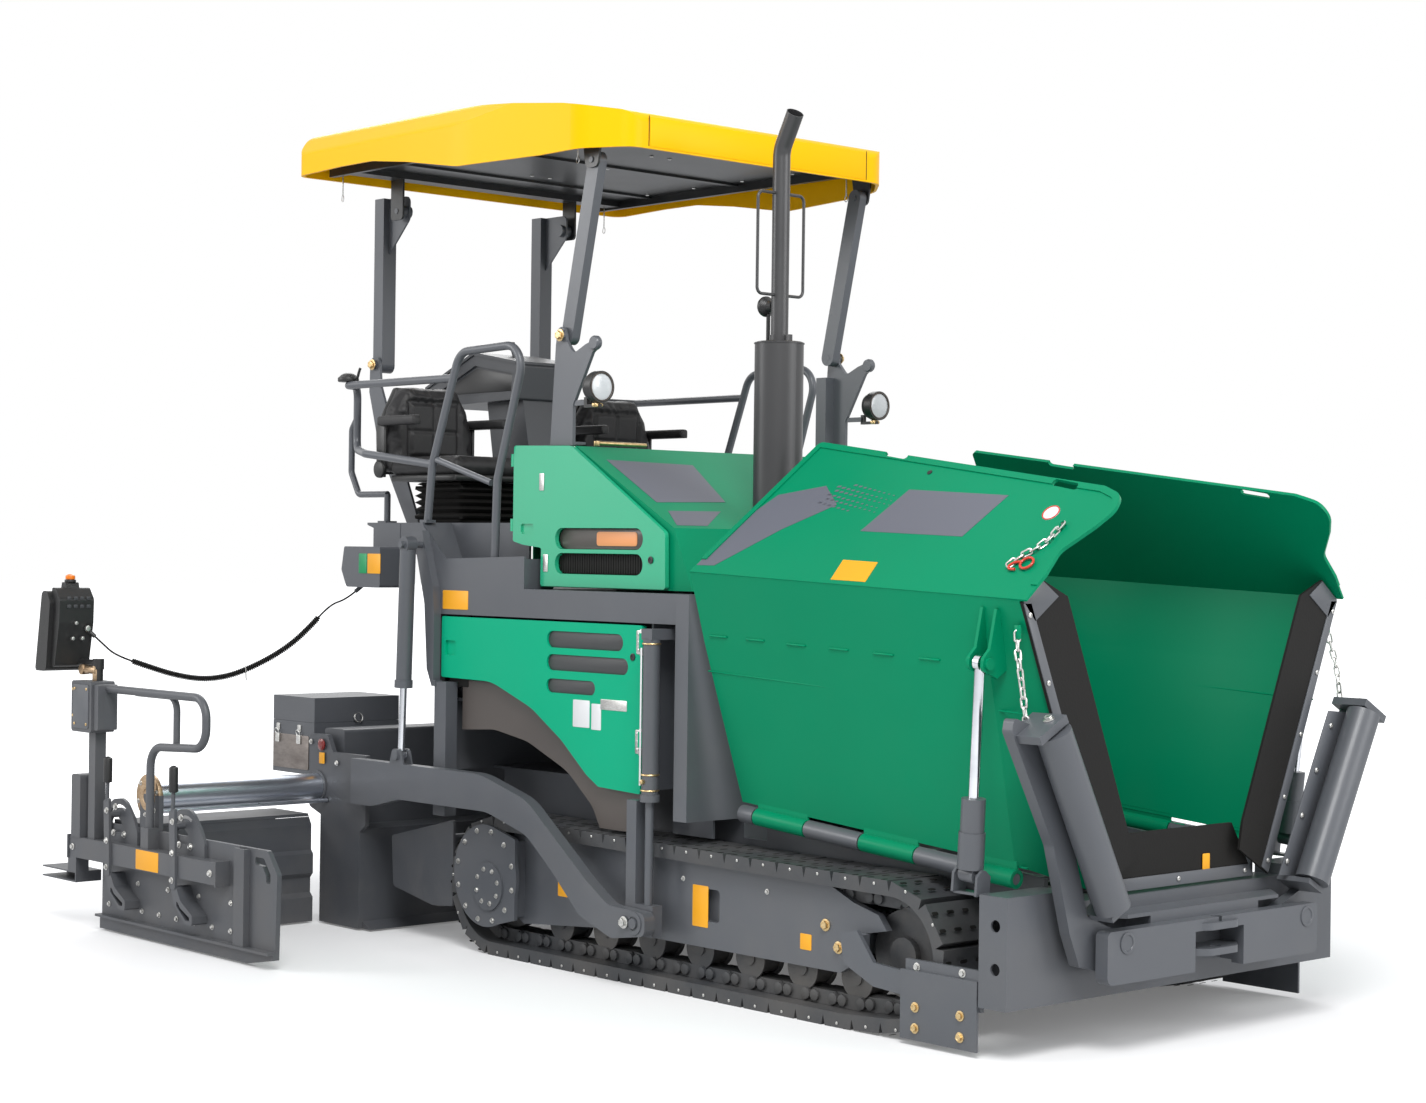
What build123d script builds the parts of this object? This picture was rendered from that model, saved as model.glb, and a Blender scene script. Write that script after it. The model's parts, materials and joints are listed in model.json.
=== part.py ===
from build123d import *
from math import acos, asin, atan2, ceil, cos, degrees, hypot, pi, radians, sin, sqrt, tan
import os

# Tracked asphalt paver with its screed, extensions out and hopper wings folded up.
# Millimetres. +X forward to the push rollers, +Y to the machine's left, +Z up.
# Origin on the ground, in the middle of the machine's length and width.
# Pairs are drawn on the left side (+Y) and mirrored to the right.

# ---- driving dimensions ------------------------------------------------------------
front_end = 2455        # origin to the push rollers
rear_end = -2455        # origin to the footsteps behind
skin = 6                # sheet steel
plate = 10              # thin plate
thick = 20              # heavy plate
run_gap = 6             # room between moving pieces
pin_gap = 0.4           # radial play of a pin in its eye
slide_gap = 0.6         # play of one tube in another

# widths, from the middle plane outwards
track_middle = 738
track_wide = 256
frame_room = 30                    # chassis wall to the track
door_inset = 16                    # doors stand this far inside the track's outer edge
arm_room = 59                      # track to the tow arm
arm_thick = 50
track_in = track_middle - track_wide / 2
track_out = track_middle + track_wide / 2
frame_half = track_in - frame_room         # outer faces of the chassis walls
body_half = track_out - door_inset         # outer face of doors and beams
side_in = body_half - 70                   # inner face of the long beams
fender_out = body_half - 32
hood_half = body_half - 75
bumper_half = body_half + 50
arm_in = track_out + arm_room
arm_out = arm_in + arm_thick
hinge_y = frame_half + 120                 # axis of the wing's hinge
lift_y = (arm_in + arm_out) / 2

# lengths of the hopper's end, back from the push rollers
push_roller_radius = 60
bumper_to_beam = 156
bumper_deep = 119
beam_face = front_end - push_roller_radius + 5
bumper_front = beam_face - bumper_to_beam
frame_front = bumper_front - bumper_deep
wing_front = bumper_front + 14
wing_bend = wing_front - 158

# tracks
shoe_thick = 52
shoe_pitch = 137
link_high, link_wide = 52, 84
sprocket = (-500, 226)             # x and pitch radius; the wheel stands on the lower run
idler = (frame_front - 435, 206)
idler_lift = 14
roller_radius = 62
roller_first = -150
roller_last = idler[0] - 220
roller_count = 7

# body
bulkhead_front = 665     # rear wall of the hopper
bulkhead_deep = 40
bulkhead_flange = 73
beam_low, beam_high = 1357, 1470
beam_rear = -960
wall_foot = 560          # lower edge of the body above the tracks
frame_rear = -800
frame_low = 180
tunnel_high = 720        # top of the conveyor's tunnel under the engine

# hopper and wings
hinge_rear = (790, hinge_y, 670)
hinge_front = (frame_front - 15, hinge_y, 566)
hinge_sleeve, hinge_pin = 32, 19
wing_sheet = 8
wing_pin = (frame_front - 5, hinge_y + 205, 1283)      # head of the wing's cylinder
wing_foot = (hinge_y + 180, 592)                       # foot of the cylinder, y and z
wing_pin_radius = 12
wing_eye = 26
wing_rib_gap = 24                 # from the cylinder's axis to each rib
wing_rim = 26                     # doubled edge of the upper flange
wing_hand_hole = (118, 26)        # length and width of a hand hole

# bumper and push arms
bumper_low, bumper_side_high, bumper_mid_high = 170, 555, 495
push_pivot = (frame_half - 95, 360)
push_tilt = 62
push_roller_span = (150, 810)
push_arm_x = (bumper_front + 42, bumper_front + 84)
tow_jaw_radius = 20
tow_jaw = (beam_face - 18, 15)    # x and y of the towing pin

# screed
tow_pin = (500, 255)
tow_pin_radius = 20
lift_pin_arm = (-1020, 770)
lift_pin_top = (-990, 1641)
lift_barrel_radius, lift_rod_radius = 33, 15
lift_pin_radius = 14
lift_eye = 24
screed_half = arm_in               # the screed hangs between the arms
screed_front, screed_rear = -1352, -1650
extension_front, extension_rear = -1665, -1980
extension_travel = 800
extension_gap = 8
tube_axis = (-1675, 590)
tube_radius = 55
guide_axis = (-1600, 535)
guide_radius = 9
end_plate_thick = 20
end_plate_y = screed_half + extension_gap + extension_travel
end_beam_rear = rear_end + 225
auger_axis = (-1050, 262)
auger_radius, auger_shaft, auger_pitch, auger_turns = 140, 30, 280, 2.25
auger_blade = 14

# operator's station and roof
deck_high = 1735
rail_radius = 17
rail_y = fender_out
front_post_foot = (-220, 2475)
rear_post_foot = (-1900, 2450)
front_post_y = hood_half - 49
rear_post_y = 450
post_half = 35                     # half the width of a square post
post_play = 3                      # post to its bracket plates
roof_pin_radius = 12
roof_rear, roof_front = -1900, 100
roof_half = 930
roof_skin = 12
roof_top = 3448
roof_head_drop = 293               # roof's top to the head pins of the front posts
roof_post_vector = (153, roof_top - roof_head_drop - front_post_foot[1])
roof_liner_top = roof_top - 144
seat_y = rail_y - 298
exhaust_place = (530, -300)
muffler_radius, pipe_radius = 95, 34
lamp_radius = 62
cord_wide, lead_wide = 27, 8


# ---- helpers -----------------------------------------------------------------------
def box(x0, x1, y0, y1, z0, z1):
    middle = Pos((x0 + x1) / 2, (y0 + y1) / 2, (z0 + z1) / 2)
    return middle * Box(abs(x1 - x0), abs(y1 - y0), abs(z1 - z0))


def rod(start, end, radius, bore=0.0):
    """Round bar, or a tube where a bore radius is given."""
    base = Plane(origin=start, z_dir=Vector(*end) - Vector(*start))
    length = (Vector(*end) - Vector(*start)).length
    ends = (Align.CENTER, Align.CENTER, Align.MIN)
    bar = base * Cylinder(radius, length, align=ends)
    if bore:
        bar -= base * Cylinder(bore, length, align=ends)
    return bar


def rod_y(x, z, y0, y1, radius, bore=0.0):
    """Round bar across the machine."""
    return rod((x, y0, z), (x, y1, z), radius, bore)


def outline(plane, corners):
    """Flat face; each corner is (u, v) or (u, v, fillet radius)."""
    points = [corner[:2] for corner in corners]
    radii = [corner[2] if len(corner) > 2 else 0 for corner in corners]
    if any(radii):
        line = FilletPolyline(*points, radius=radii, close=True)
    else:
        line = Polyline(*points, close=True)
    return plane * make_face(line)


def slab_x(corners, x0, x1):
    """Plate with its outline in Y and Z."""
    return extrude(outline(Plane.YZ.offset(x0), corners), amount=x1 - x0, dir=(1, 0, 0))


def slab_y(corners, y0, y1):
    """Plate with its outline in X and Z."""
    return extrude(outline(Plane.XZ.offset(-y0), corners), amount=y1 - y0, dir=(0, 1, 0))


def slab_z(corners, z0, z1):
    """Plate with its outline in X and Y."""
    return extrude(outline(Plane.XY.offset(z0), corners), amount=z1 - z0, dir=(0, 0, 1))


def bent_bar(points, radius, bend, bore=0.0):
    """Round bar or tube through the points, with each corner bent to the bend radius."""
    path = FilletPolyline(*points, radius=bend) if len(points) > 2 else Polyline(*points)
    start = Plane(origin=path @ 0, z_dir=path % 0)
    bar = sweep(start * Circle(radius), path=path)
    return bar - sweep(start * Circle(bore), path=path) if bore else bar


def turned(place, corners):
    """Round piece turned about the place's z axis; each corner is (radius, height)."""
    return place * revolve(outline(Plane.XZ, corners), Axis.Z)


def right(piece):
    """The same piece on the machine's other side."""
    return mirror(piece, about=Plane.XZ)


def pair(*pieces):
    return [side for piece in pieces for side in (piece, right(piece))]


def slot(x0, x1, z0, z1):
    """Outline of a slot with round ends."""
    r = (z1 - z0) / 2 - 0.5
    return [(x0, z0, r), (x1, z0, r), (x1, z1, r), (x0, z1, r)]


def arc_slot(x, z, radius, wide, angle0, angle1):
    """Outline of a curved slot about the point x, z."""
    steps = 6
    turns = [radians(angle0 + (angle1 - angle0) * k / steps) for k in range(steps + 1)]
    outer = [(x + (radius + wide / 2) * cos(a), z + (radius + wide / 2) * sin(a)) for a in turns]
    inner = [(x + (radius - wide / 2) * cos(a), z + (radius - wide / 2) * sin(a)) for a in turns]
    return outer + inner[::-1]


# ---- tracks ------------------------------------------------------------------------
def track_circles():
    """Wheels that the inner face of the shoes bends round: x, z and radius."""
    lower = shoe_thick
    rear = (sprocket[0], lower + sprocket[1], sprocket[1])
    roller = (roller_last, lower + link_high + roller_radius, link_high + roller_radius)
    front = (idler[0], lower + idler[1] + idler_lift, idler[1])
    return [rear, roller, front]


def track_runs():
    """Straight runs and arcs of the loop, in order: kind, start, data, length."""
    wheels = track_circles()
    normals = []
    for here, there in zip(wheels, wheels[1:] + wheels[:1]):
        dx, dz = there[0] - here[0], there[1] - here[1]
        span = hypot(dx, dz)
        sink = (here[2] - there[2]) / span
        side = sqrt(1 - sink * sink)
        normals.append((sink * dx / span + side * dz / span, sink * dz / span - side * dx / span))
    runs = []
    for k, wheel in enumerate(wheels):
        n_in, n_out = normals[k - 1], normals[k]
        a0 = atan2(n_in[1], n_in[0])
        turn = (atan2(n_out[1], n_out[0]) - a0) % (2 * pi)
        runs.append(("arc", wheel, (a0, turn), wheel[2] * turn))
        nxt = wheels[(k + 1) % len(wheels)]
        start = (wheel[0] + wheel[2] * n_out[0], wheel[1] + wheel[2] * n_out[1])
        end = (nxt[0] + nxt[2] * n_out[0], nxt[1] + nxt[2] * n_out[1])
        runs.append(("line", start, (end, n_out), hypot(end[0] - start[0], end[1] - start[1])))
    return runs


def track_point(runs, s, out):
    """Point on the loop at the length s, moved outwards."""
    s = s % sum(run[3] for run in runs)
    for kind, first, data, length in runs:
        if s <= length:
            break
        s -= length
    if kind == "arc":
        angle = data[0] + data[1] * s / length
        r = first[2] + out
        return (first[0] + r * cos(angle), first[1] + r * sin(angle))
    end, n = data
    t = s / length
    return (first[0] + (end[0] - first[0]) * t + n[0] * out,
            first[1] + (end[1] - first[1]) * t + n[1] * out)


def track_loop(runs, out):
    """Smooth closed line at a distance from the loop."""
    edges = []
    for kind, first, data, length in runs:
        if kind == "arc":
            r = first[2] + out
            middle = data[0] + data[1] / 2
            stops = [(first[0] + r * cos(a), first[1] + r * sin(a))
                     for a in (data[0], middle, data[0] + data[1])]
            edges.append(ThreePointArc(*stops))
        else:
            end, n = data
            edges.append(Line((first[0] + n[0] * out, first[1] + n[1] * out),
                              (end[0] + n[0] * out, end[1] + n[1] * out)))
    return make_face(Wire(edges))


def tracks():
    runs = track_runs()
    length = sum(run[3] for run in runs)
    count = round(length / shoe_pitch)
    pitch = length / count
    half, lip, gap = pitch / 2, 10, 9
    profile = []
    for k in range(count):
        s = (k + 0.5) * pitch
        for along, out in ((-half, 16), (-half + gap, shoe_thick), (half - gap, shoe_thick), (half, 16)):
            profile.append(track_point(runs, s + along * 0.999, out))
    plane = Plane.XZ.offset(-track_in)
    shoes = plane * (make_face(Polyline(*profile, close=True)) - track_loop(runs, 0))
    belt = extrude(shoes, amount=track_out - track_in, dir=(0, 1, 0))
    band = track_loop(runs, 0.5) - track_loop(runs, -link_high)
    links = extrude(Plane.XZ.offset(-(track_middle - link_wide / 2)) * band, amount=link_wide, dir=(0, 1, 0))
    return pair(belt + links)


def track_wheels():
    rear, roller, front = track_circles()
    seat = 0.5
    wheels = []

    def wheel(x, z, radius, wide, hub, hub_wide):
        disc = rod_y(x, z, track_middle - wide / 2, track_middle + wide / 2, radius - seat)
        return disc + rod_y(x, z, track_middle - hub_wide / 2, track_middle + hub_wide / 2, hub)

    def flanges(x, z, radius):
        """Rims that keep the links from sliding off a roller."""
        inner = link_wide / 2 + 1
        return [rod_y(x, z, track_middle + s * inner, track_middle + s * (inner + 7), radius)
                for s in (-1, 1)]

    wheels.append(wheel(rear[0], rear[1], rear[2] - link_high, 40, 90, 112))
    wheels.append(wheel(front[0], front[1], front[2] - link_high, 60, 60, 112))
    low = roller[1]
    for k in range(roller_count):
        x = roller_first + (roller_last - roller_first) * k / (roller_count - 1)
        wheels.append(wheel(x, low, roller_radius, 100, 26, 112) + flanges(x, low, roller_radius + 14))
    return pair(*wheels)


# ---- chassis -----------------------------------------------------------------------
def hinge_point(x, lift=0.0):
    """Point of the wing hinge's axis at x, or straight above it."""
    t = (x - hinge_rear[0]) / (hinge_front[0] - hinge_rear[0])
    return (x, hinge_rear[1], hinge_rear[2] + (hinge_front[2] - hinge_rear[2]) * t + lift)


def hinge_xz(x, lift):
    point = hinge_point(x, lift)
    return (point[0], point[2])


def knuckles():
    """Sleeves of the wing's hinge, in order along it: frame, wing, frame and so on."""
    length = hinge_front[0] - hinge_rear[0]
    stops = [hinge_rear[0] + length * share for share in (0.056, 0.256, 0.464, 0.664, 0.843)]
    stops = [hinge_rear[0]] + stops + [hinge_front[0]]
    spans = [(a + (run_gap if k else 0), b) for k, (a, b) in enumerate(zip(stops, stops[1:]))]
    return spans[0::2], spans[1::2]


def main_frame():
    wall_in = frame_half - thick
    walls = box(frame_rear, frame_front, wall_in, frame_half, frame_low, wall_foot)
    shelf_end = bulkhead_front
    on_frame, on_wing = knuckles()
    sill = []
    for x0, x1 in on_frame:
        sleeve = rod(hinge_point(x0), hinge_point(x1), hinge_sleeve)
        foot = slab_y([hinge_xz(x0, -12), hinge_xz(x1, -12), hinge_xz(x1, -2), hinge_xz(x0, -2)],
                      wall_in, hinge_y - 10)
        sill.append(sleeve + foot)
    pin = rod(hinge_point(hinge_rear[0] + 2), hinge_point(hinge_front[0] - 2), hinge_pin)
    x0, x1 = hinge_rear[0], hinge_front[0]
    top_strip = slab_y([hinge_xz(x0, -2), hinge_xz(x1, -2), (x1, 500), (x0, 500)], wall_in, frame_half)
    floor = box(frame_rear, frame_front, -wall_in, wall_in, frame_low, frame_low + skin)
    cross = [box(x, x + 40, -wall_in, wall_in, frame_low + skin, 420) for x in (frame_rear, 200, 1200)]
    # bulkhead: rear wall of the hopper, with the conveyor's tunnel through it
    wall_half, mouth = body_half + 20, 400
    wall = slab_x([(-wall_half, 634), (-frame_half, 634), (-frame_half, 520), (-mouth, 520),
                   (-mouth, tunnel_high - 8), (mouth, tunnel_high - 8), (mouth, 520), (frame_half, 520),
                   (frame_half, 634), (wall_half, 634), (wall_half, beam_high), (-wall_half, beam_high)],
                  bulkhead_front - bulkhead_deep, bulkhead_front)
    rear_face = bulkhead_front - bulkhead_deep
    flange = box(bulkhead_front - bulkhead_flange, rear_face, wall_half - 8, wall_half, 634, beam_high)
    beams = box(beam_rear, bulkhead_front - bulkhead_flange, side_in, body_half, beam_low, beam_high)
    tie = box(beam_rear, beam_rear + 60, -side_in, side_in, beam_low, beam_high)
    deck = box(beam_rear, rear_face, -side_in, side_in, beam_high - skin, beam_high)
    niche = box(400, rear_face, hinge_y - 10, hinge_y, wall_foot, beam_low)
    niche_side = box(400, 410, hinge_y, fender_out, wall_foot + 170, beam_low)
    bay_rear = box(-885, -877, -side_in, side_in, tunnel_high - 8, beam_low + 40)
    bay_floor = box(-885, rear_face, -frame_half, frame_half, tunnel_high - 8, tunnel_high)
    tunnel = box(frame_rear, rear_face, wall_in, frame_half, wall_foot, tunnel_high - 8)
    corner = slab_y([(-1055, 1690), (-985, 1700), (-905, beam_high), (-893, beam_low), (-893, 1085),
                     (-880, 1085), (-880, 1060), (-905, 1060), (-940, 1130), (-962, 1400), (-1020, 1600)],
                    body_half, body_half + 35)
    pillar = box(-890, -810, fender_out + 4, body_half + 30, 530, 1080)
    stay = box(-890, -877, side_in, fender_out + 4, 700, 1080)
    lift_stub = rod_y(*lift_pin_top, body_half + 35, arm_out + 17, lift_pin_radius)
    tank = box(-780, 180, frame_half + 20, side_in, 1010, 1330)
    tank_shelf = box(-880, 400, frame_half - 20, side_in + 10, 1000, 1010)
    both = pair(walls, tunnel, top_strip, pin, flange, beams, niche, niche_side, corner, pillar, stay,
                lift_stub, tank, tank_shelf, *sill)
    return both + [floor, wall, tie, deck, bay_rear, bay_floor] + cross


def cylinder_point(along_hinge, along_cylinder):
    """Point beside the wing cylinder's foot pin, in the plane square to the wing's hinge."""
    hinge = (Vector(*hinge_front) - Vector(*hinge_rear)).normalized()
    rise = wing_pin[2] - wing_foot[1]
    foot = Vector(wing_pin[0] + rise * hinge.Z / hinge.X, *wing_foot)
    axis = (Vector(*wing_pin) - foot).normalized()
    return tuple(foot + hinge * along_hinge + axis * along_cylinder)


def cylinder_slab(corners, w0, w1):
    """Plate square to the wing's hinge; corners in Y from the hinge and in Z."""
    hinge = (Vector(*hinge_front) - Vector(*hinge_rear)).normalized()
    plane = Plane(origin=cylinder_point(w0, 0), x_dir=(0, 1, 0), z_dir=hinge)
    local = [(hinge_y + c[0] - wing_foot[0], (c[1] - wing_foot[1]) / hinge.X, *c[2:]) for c in corners]
    return extrude(outline(plane, local), amount=w1 - w0, dir=hinge)


def front_bumper():
    low, side_high, mid_high = bumper_low, bumper_side_high - 20, bumper_mid_high
    step_y = frame_half + 20
    face = slab_x([(-bumper_half, low), (bumper_half, low), (bumper_half, side_high), (step_y, side_high),
                   (step_y, mid_high), (-step_y, mid_high), (-step_y, side_high), (-bumper_half, side_high)],
                  bumper_front - 8, bumper_front)
    side = box(frame_front, bumper_front - 8, bumper_half - 8, bumper_half, low, side_high)
    side -= rod_y(frame_front + 70, 300, bumper_half - 20, bumper_half + 10, 20)
    side -= rod_y(frame_front + 70, 440, bumper_half - 20, bumper_half + 10, 20)
    top = box(frame_front, bumper_front - 8, step_y, bumper_half - 8, side_high - 8, side_high)
    step = box(frame_front, bumper_front - 8, step_y - 8, step_y + 8, mid_high - 8, side_high)
    mid_top = box(frame_front, bumper_front - 8, -step_y + 8, step_y - 8, mid_high - 8, mid_high)
    rear = slab_x([(-bumper_half + 8, low), (bumper_half - 8, low), (bumper_half - 8, side_high - 8),
                   (-bumper_half + 8, side_high - 8)], frame_front, frame_front + 8)
    rear -= box(frame_front, frame_front + 8, -step_y + 8, step_y - 8, mid_high, side_high + 10)
    lug = [cylinder_slab([(142, 530), (206, 530), (206, 592), (180, 622, 20), (142, 592)], w, w + 10)
           for w in (-56, 46)]
    lug_base = box(frame_front - 120, frame_front + 8, hinge_y + 142, hinge_y + 192,
                   side_high - 8, side_high)
    lug_pin = rod(cylinder_point(-56, 0), cylinder_point(56, 0), wing_pin_radius)
    # push beam with the towing jaw
    back, jaw = beam_face - 50, beam_face - 100
    x_pin, y_pin = tow_jaw
    mouth = 135
    beam = slab_x([(-585, 240, 30), (585, 240, 30), (585, 415, 20), (-585, 415, 20)], back, beam_face)
    beam -= box(jaw, beam_face, y_pin - mouth, y_pin + mouth, 200, 375)
    beam -= Pos(x_pin, y_pin, 400) * Cylinder(tow_jaw_radius, 200)
    block = box(bumper_front, back, -300, 300, 250, 440)
    block -= box(back - 50, back, y_pin - mouth, y_pin + mouth, 250, 375)
    deck = slab_z([(bumper_front, -520), (back, -420), (back, 420), (bumper_front, 520)], 440, 452)
    shafts = [rod((bumper_front - 8, s * push_pivot[0], push_pivot[1]),
                  (beam_face, s * push_pivot[0], push_pivot[1]), 26) for s in (-1, 1)]
    jaws = []
    for z in (376, 290):
        tongue = slab_z([(back - 50, y_pin - mouth), (back + 20, y_pin - mouth),
                         (beam_face + 20, y_pin - 75, 40), (beam_face + 20, y_pin + 75, 40),
                         (back + 20, y_pin + mouth), (back - 50, y_pin + mouth)], z, z + 24)
        jaws.append(tongue - Pos(x_pin, y_pin, z) * Cylinder(tow_jaw_radius, 200))
    return [face, mid_top, rear, beam, block, deck] + jaws + shafts + pair(
        side, top, step, lug_base + lug + lug_pin)


def conveyor():
    top, half = 500, frame_half - thick
    floor = box(frame_rear + 10, frame_front - 10, -half, half, top - 8, top)
    slats = [box(x, x + 30, -390, 390, top, top + 25) for x in range(-780, int(frame_front) - 45, 190)]
    strands = [box(-780, frame_front - 35, y, y + 30, top, top + 12) for y in (-340, 310)]
    return [floor] + slats + strands


def bottom_flap():
    x = bumper_front - 29
    return [slab_x([(-440, 505), (440, 505), (310, 700), (-310, 700)], x, x + 12)]


def track_frames():
    rear, roller, front = track_circles()
    in_face, out_face = track_middle - 56, track_middle + 56
    wall_face = track_middle + 84
    end = roller_last
    core = slab_y([(-310, 248), (end + 30, 248), (end + 30, 390), (-310, 390)], in_face, out_face)
    inner = box(-310, end + 10, frame_half, in_face, 250, 380)
    side = slab_y([(-420, 498), (end - 100, 476), (end + 10, 430), (end + 130, 400), (end + 170, 350),
                   (end + 70, 330), (end + 30, 225), (end - 50, 180), (120, 180), (-350, 141), (-420, 180)],
                  out_face, wall_face)
    side -= slab_y([(710, 277, 15), (800, 277, 15), (800, 396, 15), (710, 396, 15)],
                   track_middle, wall_face + 20)
    cover_face = track_out + 4
    cover = rod_y(rear[0] - 25, 318, cover_face, cover_face + 16, 205)
    cover += slab_y([(-480, 517), (-330, 480), (-330, 160), (-480, 122)], cover_face, cover_face + 16)
    cover += rod_y(rear[0], rear[1], cover_face + 16, cover_face + 24, 96)
    final_drive = rod_y(rear[0], rear[1], out_face, cover_face, 150)
    bend_plate = box(-365, -345, wall_face, cover_face, 170, 470)
    fork = slab_y([(end + 10, 330), (end + 90, 350), (end + 170, 250), (end + 320, 240),
                   (end + 320, 160), (end + 170, 170), (end + 30, 230)], cover_face, cover_face + 16)
    fork += box(end + 30, end + 90, wall_face, cover_face, 240, 330)
    return pair(core, inner, side + bend_plate, cover + final_drive, fork)


def track_scrapers():
    face = track_out + 4
    holder = box(roller_last + 320, frame_front, face, face + 16, 150, 285)
    blade = box(roller_last + 306, frame_front - 10, face + 16, face + 26, 20, 250)
    return pair(holder + blade)


def engine_block():
    return [box(20, 560, -350, 350, tunnel_high, 1400)]


def fenders():
    plate_side = slab_y([(-779, 886), (-563, 899, 200), (-347, 865, 300), (-92, 765, 300), (64, 640, 100),
                         (110, 562), (385, 562), (385, 1090), (-779, 1090)], fender_out - 18, fender_out)
    return pair(plate_side)


def hood():
    outer = [(-478, 2044), (-118, 2036), (469, 1716), (575, 1480), (-478, 1480)]
    inner = [(-470, 2036), (-120, 2028), (463, 1710), (566, 1480), (-470, 1480)]
    half = hood_half
    shell = slab_y(outer, -half, half) - slab_y(inner, -half + skin, half - skin)
    frame_cut = slab_y([(-440, 2000), (-140, 1995), (400, 1690), (430, 1520), (-440, 1520)],
                       -half - 30, half + 30)
    x, y = exhaust_place
    shell -= frame_cut + rod((x, y, 1400), (x, y, 2100), muffler_radius + run_gap)
    for s in (-1, 1):
        shell -= box(-490, -330, s * (half - 75), s * (half + 15), 1470, 1650)
    louvre = [box(-325, 340, half - 18, half - 14, 1500, 1720)]
    louvre += [box(-325, 340, half - 14, half - 2, z, z + 4) for z in range(1520, 1710, 22)]
    return [shell] + pair(Part() + louvre)


def door_upper():
    face_in = hood_half + run_gap
    face_out = face_in + 19
    panel = slab_y([(-481, 2044, 12), (-118, 2036, 60), (447, 1698, 30), (451, 1484, 12), (-301, 1484, 12),
                    (-298, 1635, 10), (-414, 1646, 10), (-481, 1660, 10)], face_in, face_out)
    panel -= slab_y(slot(-210, 320, 1631, 1714), face_in - 20, face_out + 20)
    panel -= slab_y(slot(-210, 320, 1534, 1616), face_in - 20, face_out + 20)
    panel -= slab_y([(-430, 1690, 10), (-350, 1690, 10), (-350, 1730, 10), (-430, 1730, 10)],
                    face_out - 8, face_out + 20)
    knuckle_y = face_in + 11
    hinges = [rod((-495, knuckle_y, z), (-495, knuckle_y, z + 50), 9) for z in (1700, 1960)]
    leaves = [box(-495, -478, face_in + 5, face_in + 15, z, z + 50) for z in (1700, 1960)]
    return [panel + hinges + leaves]


def door_lower():
    face_in, knuckle_y = body_half - 25, body_half + 8
    panel = slab_y([(-885, 1348, 10), (380, 1348, 10), (380, 714, 10), (134, 724, 20), (61, 765, 60),
                    (-95, 889, 300), (-286, 1003, 300), (-547, 1094, 300), (-885, 1098, 10)],
                   face_in, body_half)
    for x1, z0, z1 in ((271, 1246, 1311), (302, 1157, 1220), (108, 1070, 1125)):
        opening = slab_y(slot(-190, x1, z0, z1), face_in - 10, body_half + 10)
        slats = [box(-194, x1 + 4, face_in + 2, face_in + 8, z, z + 5)
                 for z in range(z0 + 10, z1 - 8, 12)]
        panel = panel - opening + slats
    panel -= slab_y([(-860, 1190, 10), (-790, 1190, 10), (-790, 1250, 10), (-860, 1250, 10)],
                    body_half - 10, body_half + 10)
    hinges = [rod((392, knuckle_y, z), (392, knuckle_y, z + 60), 9) for z in (890, 1260)]
    leaves = [box(370, 392, body_half, body_half + 6, z, z + 60) for z in (890, 1260)]
    return [panel + hinges + leaves]


# ---- on the deck -------------------------------------------------------------------
def exhaust():
    x, y = exhaust_place
    muffler_top = 2440
    muffler = rod((x, y, beam_high), (x, y, muffler_top - 8), muffler_radius)
    muffler += turned(Pos(x, y, muffler_top - 8), [(0, 0), (muffler_radius + 3, 0), (muffler_radius + 3, 4),
                                                   (muffler_radius - 6, 8), (0, 8)])
    pipe = bent_bar([(x, y, muffler_top), (x, y, roof_top - 268), (x + 92, y - 20, roof_top - 138)],
                    pipe_radius, 90, bore=pipe_radius - 3)
    clamp = rod((x, y, muffler_top), (x, y, muffler_top + 26), pipe_radius + 5, pipe_radius - 1)
    clamp += box(x + pipe_radius, x + pipe_radius + 30, y - 8, y + 8, muffler_top, muffler_top + 26)
    # grab loop welded to the pipe
    half, low, high = 122, 2620, 3012
    loop = bent_bar([(x, y - pipe_radius + 2, low), (x, y - half, low), (x, y - half, high),
                     (x, y - pipe_radius + 2, high)], 6, 25)
    loop += bent_bar([(x, y + pipe_radius - 2, low), (x, y + half, low), (x, y + half, high),
                      (x, y + pipe_radius - 2, high)], 6, 25)
    return [muffler + pipe + clamp + loop]


def platform():
    step = slab_y([(-1041, 1733), (-1031, 1733), (-905, 1495), (-347, 1495), (-347, 1590), (-341, 1590),
                   (-341, beam_high), (-925, beam_high)], hinge_y, body_half)
    outer = slab_y([(-1041, 1733), (-925, beam_high), (-341, beam_high), (-341, 1600), (-862, 1585)],
                   body_half - 8, body_half)
    inner_y = hinge_y - 10
    riser = slab_y([(-1560, 1700), (-925, beam_high), (-500, beam_high), (-500, deck_high - 10),
                    (-1650, deck_high - 10)], inner_y, hinge_y)
    floor = box(-1650, -500, -hinge_y, hinge_y, deck_high - 10, deck_high)
    box_side = slab_y([(-1350, 1455, 15), (-1600, 1455, 15), (-1640, 1530, 15), (-1620, 1630, 10),
                       (-1350, 1630, 10)], hinge_y, body_half - 10)
    box_hanger = slab_y([(-1600, 1600), (-1400, 1600), (-1400, 1730), (-1600, 1730)],
                        inner_y, hinge_y + 2)
    gland = rod((-1596, 796, 1434), (-1581, 763, 1465), 9)
    toe_half = rear_post_y + post_half - run_gap
    toe = box(-1650, -1640, -toe_half, toe_half, deck_high, deck_high + 60)
    return [floor, toe] + pair(step, outer, riser, box_side + box_hanger + gland)


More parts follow.
